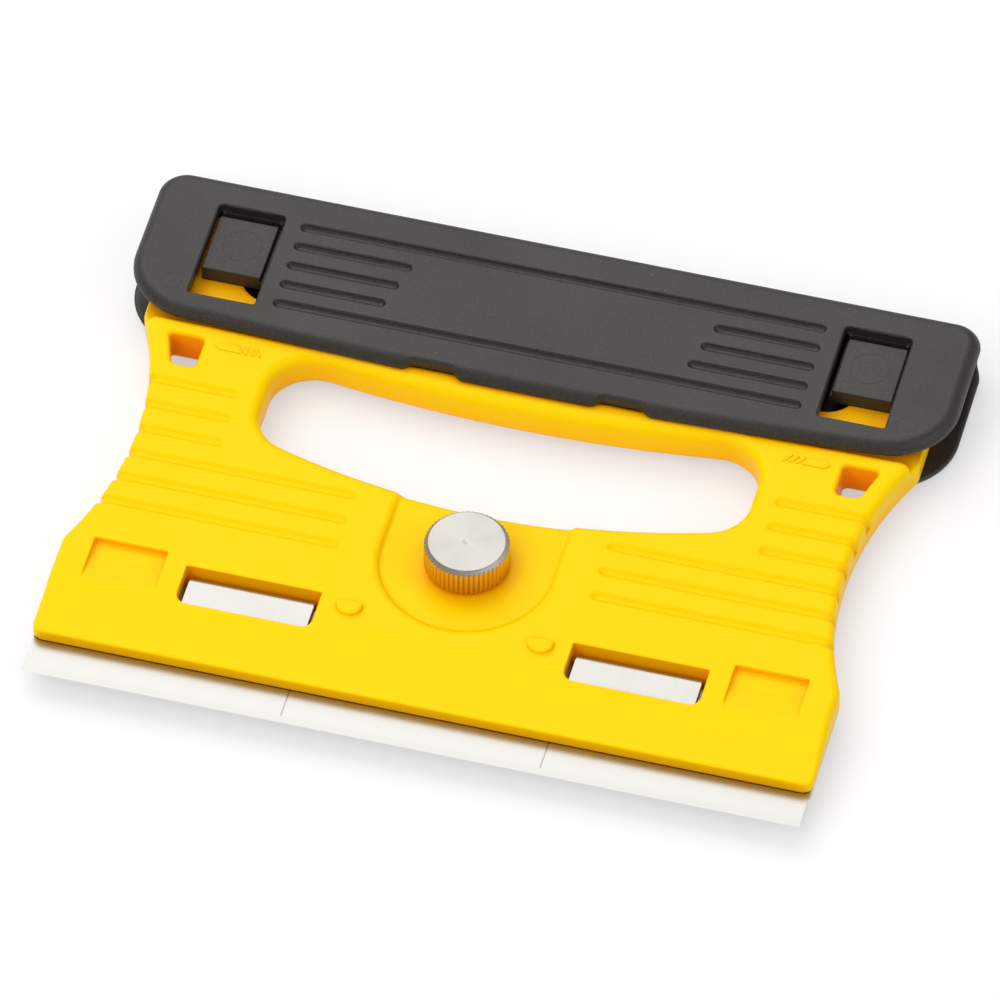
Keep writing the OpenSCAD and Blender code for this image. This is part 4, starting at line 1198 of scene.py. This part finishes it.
class SCRAPER_OT_blade(Operator):
    """Finish the blade"""

    bl_idname = "scraper.blade"
    bl_label = "Blade"

    def execute(self, context):
        drop_packed_material("blade_steel")
        colour = context.scene.scraper_finishes.blade
        steel = ground_metal("blade_steel", colour, stretch=(6000, 60, 60), rough=(0.28, 0.31),
                             depth=0.0002 * MM, score_x=SCORE_X)
        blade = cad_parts["blade"]
        blade.data.materials.clear()
        blade.data.materials.append(steel)
        return {"FINISHED"}


BUSH_COLUMNS = 96


class SCRAPER_OT_clamp(Operator):
    """Model the clamp plate and the threaded bush"""

    bl_idname = "scraper.clamp"
    bl_label = "Clamp plate and bush"

    def execute(self, context):
        s = context.scene.scraper_metal
        body = context.scene.scraper_body
        colours = context.scene.scraper_finishes
        drop_packed_material("plate_steel")
        drop_packed_material("bush_brass")
        steel = ground_metal("plate_steel", colours.plate, stretch=(6000, 80, 80), rough=(0.3, 0.38),
                             depth=0.001 * MM)
        low, high = design_box(PLATE_LOW, PLATE_HIGH)
        mesh = moulded_mesh("clamp_sheet", plate_field(s, body), low, high, s.plate_cell)
        piece("clamp_sheet", mesh, steel, "clamp", "clamp_plate")

        brass = turned_metal("bush_brass", colours.brass, rough=(0.2, 0.32), depth=0.003 * MM,
                             side_z=BUSH_LOW.z)
        top, rear, flange = BUSH_HIGH.z - FACE_Z, BUSH_LOW.z - FACE_Z, s.bush_flange_z
        flange_r, neck_r, bore_r = BUSH_HIGH.x, s.bush_neck_r, s.bush_bore_r
        chamfer = s.rim_r * 2
        profile = [(bore_r, rear + chamfer), (bore_r + chamfer, rear), (neck_r - chamfer / 2, rear),
                   (neck_r, rear + chamfer / 2), (neck_r, flange), (flange_r - chamfer, flange),
                   (flange_r, flange + chamfer), (flange_r, top - chamfer), (flange_r - chamfer, top),
                   (bore_r + chamfer, top), (bore_r, top - chamfer), (bore_r, rear + chamfer)]
        mesh = lathe_mesh("turned_bush", profile, BUSH_COLUMNS)
        piece("turned_bush", mesh, brass, "clamp", "threaded_bush")
        return {"FINISHED"}


CHAMFER_STEPS, RIM_STEPS, DIMPLE_STEPS = 8, 3, 5
COLUMNS_PER_TOOTH = 8
VALLEY_HALF_WIDTH = 0.3  # share of a tooth
CROWN_SHARE = 0.2  # share of the knurl's depth by which a tooth's crown is rounded


class SCRAPER_OT_thumb_screw(Operator):
    """Model the thumb screw with its knurled head"""

    bl_idname = "scraper.thumb_screw"
    bl_label = "Thumb screw"

    def execute(self, context):
        s = context.scene.scraper_metal
        drop_packed_material("screw_plating")
        colour = context.scene.scraper_finishes.screw
        # the knurled side below the head's chamfer carries the painted reflection of the yellow body
        side_z = SCREW_HIGH.z - s.head_chamfer
        plating = turned_metal("screw_plating", colour, rough=(0.36, 0.44), depth=0.002 * MM, side_z=side_z)
        top = SCREW_HIGH.z - FACE_Z
        end = SCREW_LOW.z - FACE_Z
        head_r = SCREW_HIGH.x
        chamfer, rim = s.head_chamfer, s.rim_r
        low_r = head_r - chamfer
        profile = [(0, end), (s.shank_r - 2 * rim, end), (s.shank_r, end + 2 * rim), (s.shank_r, s.boss_low),
                   (s.boss_r - rim, s.boss_low), (s.boss_r, s.boss_low + rim), (s.boss_r, s.head_low)]
        for i in range(CHAMFER_STEPS + 1):
            out = chamfer * i / CHAMFER_STEPS
            profile.append((low_r + out, s.head_low + out))
        for i in range(CHAMFER_STEPS + 1):
            rise = (chamfer - rim) * i / CHAMFER_STEPS
            profile.append((head_r - chamfer * i / CHAMFER_STEPS, top - chamfer + rise))
        for i in range(1, RIM_STEPS + 1):
            a = QUARTER * i / RIM_STEPS
            profile.append((low_r - rim + rim * math.cos(a), top - rim + rim * math.sin(a)))
        profile += [(low_r - 2 * rim, top), (s.dimple_r + rim, top)]
        for i in range(DIMPLE_STEPS + 1):
            share = 1 - i / DIMPLE_STEPS
            profile.append((s.dimple_r * share, top - s.dimple_d * (1 - share * share)))

        def knurl(angles):
            """Radius of the knurled side at each angle"""
            tooth = (angles * s.knurl_n / (2 * math.pi)) % 1
            valley = np.maximum(0, 1 - np.abs(tooth - 0.5) / VALLEY_HALF_WIDTH)
            crown = (2 * np.abs(tooth - 0.5) - 1) ** 2
            return head_r - s.knurl_d * valley - CROWN_SHARE * s.knurl_d * crown

        mesh = lathe_mesh("knurled_screw", profile, s.knurl_n * COLUMNS_PER_TOOTH, knurl)
        piece("knurled_screw", mesh, plating, "screw", "thumb_screw")
        return {"FINISHED"}


RING_STEPS, RING_SIDES = 72, 8
RING_HEIGHT, RING_SINK = 0.45, 0.2  # shares of the half width of its line


def ring_mesh(name, place, r, line):
    """A thin raised ring, sunk into the face that carries it"""
    made = bmesh.new()
    rows = []
    for i in range(RING_STEPS):
        a = 2 * math.pi * i / RING_STEPS
        row = []
        for k in range(RING_SIDES):
            b = 2 * math.pi * k / RING_SIDES
            out = r + line * math.cos(b)
            row.append(made.verts.new((place.x + out * math.cos(a), place.y + out * math.sin(a),
                                       place.z + line * (RING_HEIGHT * math.sin(b) - RING_SINK))))
        rows.append(row)
    for i in range(RING_STEPS):
        here, ahead = rows[i], rows[(i + 1) % RING_STEPS]
        for k in range(RING_SIDES):
            beside = (k + 1) % RING_SIDES
            made.faces.new((here[k], ahead[k], ahead[beside], here[beside]))
    mesh = bpy.data.meshes.new(name)
    made.to_mesh(mesh)
    made.free()
    mesh.transform(placed())
    mesh.shade_smooth()
    return mesh


class SCRAPER_OT_cover(Operator):
    """Model the blade cover"""

    bl_idname = "scraper.cover"
    bl_label = "Blade cover"

    def execute(self, context):
        s = context.scene.scraper_cover
        low, high = design_box(COVER_LOW, COVER_HIGH)
        material = finish_for(context, "cover_plastic", cover_plastic)
        mesh = moulded_mesh("cover_moulding", cover_field(s), low, high, s.cell)
        piece("cover_moulding", mesh, material, "cover", "blade_cover")
        for name, way in SIDES.items():
            place = Vector((way * s.ring_x, s.ring_y, high.z))
            mesh = ring_mesh(f"{name}_cover_ring", place, s.ring_r, s.ring_line)
            piece(f"{name}_cover_ring", mesh, material, "cover")
        return {"FINISHED"}


class SCRAPER_OT_tongues(Operator):
    """Model the cover's two grip tongues"""

    bl_idname = "scraper.tongues"
    bl_label = "Grip tongues"

    def execute(self, context):
        s = context.scene.scraper_cover
        material = finish_for(context, "cover_plastic", cover_plastic)
        for name, way in SIDES.items():
            node, body = f"{name}_grip_tongue", f"{name}_tongue"
            low, high = design_box(*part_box(node))
            mesh = moulded_mesh(f"{name}_tongue_pad", tongue_field(s, way, low, high), low, high, s.tongue_cell)
            piece(f"{name}_tongue_pad", mesh, material, body, node)
            middle = (low + high) / 2
            place = Vector((middle.x, middle.y, high.z))
            mesh = ring_mesh(f"{name}_tongue_ring", place, s.tongue_ring_r, s.ring_line)
            piece(f"{name}_tongue_ring", mesh, material, body)
        return {"FINISHED"}


# Each lamp's place beside the target, its width, the setting of its power, and whether gloss shows it
LAMPS = {
    "key_light": ((-0.66, 0.86, 1.56), 2, "key_power", True),
    "fill_light": ((1.1, -0.2, 0.7), 0.8, "fill_power", True),
    "front_light": ((-0.5, -1.1, 1.2), 1.6, "front_power", False),
}
SENSOR_WIDTH = 36
CLIP_NEAR, CLIP_FAR = 0.05, 20
FLOOR_HALF = 3.0


class SCRAPER_OT_stage(Operator):
    """Set up the camera, the pale floor and the light"""

    bl_idname = "scraper.stage"
    bl_label = "Stage"

    def execute(self, context):
        s = context.scene.scraper_stage
        context.scene.view_settings.view_transform = "Standard"
        self.camera(context, s)
        self.floor(s)
        self.world(context, s)
        for name, (place, width, power, glossy) in LAMPS.items():
            lamp = self.light(name, Vector(s.target), Vector(place), width, getattr(s, power))
            lamp.visible_glossy = glossy
        return {"FINISHED"}

    def camera(self, context, s):
        """A long lens that looks at the target from the front and above"""
        lens = bpy.data.cameras.new("camera")
        lens.lens = s.lens
        lens.sensor_width = SENSOR_WIDTH
        lens.clip_start = CLIP_NEAR
        lens.clip_end = CLIP_FAR
        made = linked("camera", lens)
        flat = math.cos(s.elevation)
        back = Vector((math.sin(s.azimuth) * flat, -math.cos(s.azimuth) * flat, math.sin(s.elevation)))
        made.location = Vector(s.target) + back * s.distance
        made.rotation_euler = (-back).to_track_quat("-Z", "Y").to_euler()
        context.scene.camera = made

    def floor(self, s):
        """A pale floor that looks white and keeps the shadow"""
        mesh = bpy.data.meshes.new("floor")
        corners = [(x * FLOOR_HALF, y * FLOOR_HALF, 0) for x, y in ((-1, -1), (1, -1), (1, 1), (-1, 1))]
        mesh.from_pydata(corners, [], [(0, 1, 2, 3)])
        made = linked("floor", mesh)
        material, tree, shader, place = new_material("pale_floor", Specular_IOR_Level=0.0, Roughness=0.9)
        skin = use_group(tree, moulded_skin(), Place=place, Grain=900.0, Cloud=3.0)
        pale = colour_between(tree, skin["Cloud"], s.floor, scaled(s.floor, CLOUD_SHADE))
        feed(tree, shader, Base_Color=pale)
        share = maths(tree, "MULTIPLY", self.seen(tree), s.backdrop)
        white = add(tree, "ShaderNodeEmission", {"Strength": 1})
        mix = add(tree, "ShaderNodeMixShader", {0: share, 1: shader.outputs[0], 2: white.outputs[0]})
        tree.links.new(mix.outputs[0], tree.nodes["Material Output"].inputs["Surface"])
        mesh.materials.append(material)

    def seen(self, tree):
        """A mask of the rays that see the white backdrop: the camera's, and those of metal and gloss"""
        rays = add(tree, "ShaderNodeLightPath").outputs
        either = maths(tree, "MAXIMUM", rays["Is Camera Ray"], rays["Is Glossy Ray"])
        return maths(tree, "MAXIMUM", either, rays["Is Transmission Ray"])

    def world(self, context, s):
        """Even white light from all round"""
        world = bpy.data.worlds.new("white_studio")
        world.use_nodes = True
        tree = world.node_tree
        tree.nodes.clear()
        light = add(tree, "ShaderNodeBackground", {"Color": (1, 1, 1, 1), "Strength": s.world_level})
        add(tree, "ShaderNodeOutputWorld", {"Surface": light.outputs[0]})
        context.scene.world = world

    def light(self, name, target, place, width, power):
        """A square lamp that stands at place beside the target and faces it"""
        lamp = bpy.data.lights.new(name, "AREA")
        lamp.shape = "SQUARE"
        lamp.size = width
        lamp.energy = power
        made = linked(name, lamp)
        made.location = target + place
        made.rotation_euler = (-place).to_track_quat("-Z", "Y").to_euler()
        return made


class SCRAPER_PT_panel(Panel):
    """Lists the scraper's pieces"""

    bl_idname = "SCRAPER_PT_panel"
    bl_label = "Razor scraper"
    bl_space_type = "VIEW_3D"
    bl_region_type = "UI"
    bl_category = "Scraper"

    def draw(self, context):
        for operator in OPERATORS:
            self.layout.operator(operator.bl_idname)


GROUPS = {
    "scraper_body": BodySizes,
    "scraper_cover": CoverSizes,
    "scraper_metal": MetalSizes,
    "scraper_finishes": Finishes,
    "scraper_stage": StageSettings,
}
OPERATORS = (SCRAPER_OT_body, SCRAPER_OT_blade, SCRAPER_OT_clamp, SCRAPER_OT_thumb_screw, SCRAPER_OT_cover,
             SCRAPER_OT_tongues, SCRAPER_OT_stage)
CLASSES = (*GROUPS.values(), *OPERATORS, SCRAPER_PT_panel)


def register():
    for cls in CLASSES:
        bpy.utils.register_class(cls)
    for name, group in GROUPS.items():
        setattr(bpy.types.Scene, name, PointerProperty(type=group))


def unregister():
    for name in GROUPS:
        delattr(bpy.types.Scene, name)
    for cls in reversed(CLASSES):
        bpy.utils.unregister_class(cls)


def main():
    register()
    for slot in ("body_plastic", "cover_plastic"):
        drop_packed_material(slot)
    bpy.ops.scraper.body()
    bpy.ops.scraper.blade()
    bpy.ops.scraper.clamp()
    bpy.ops.scraper.thumb_screw()
    bpy.ops.scraper.cover()
    bpy.ops.scraper.tongues()
    bpy.ops.scraper.stage()


if __name__ == "__main__":
    main()
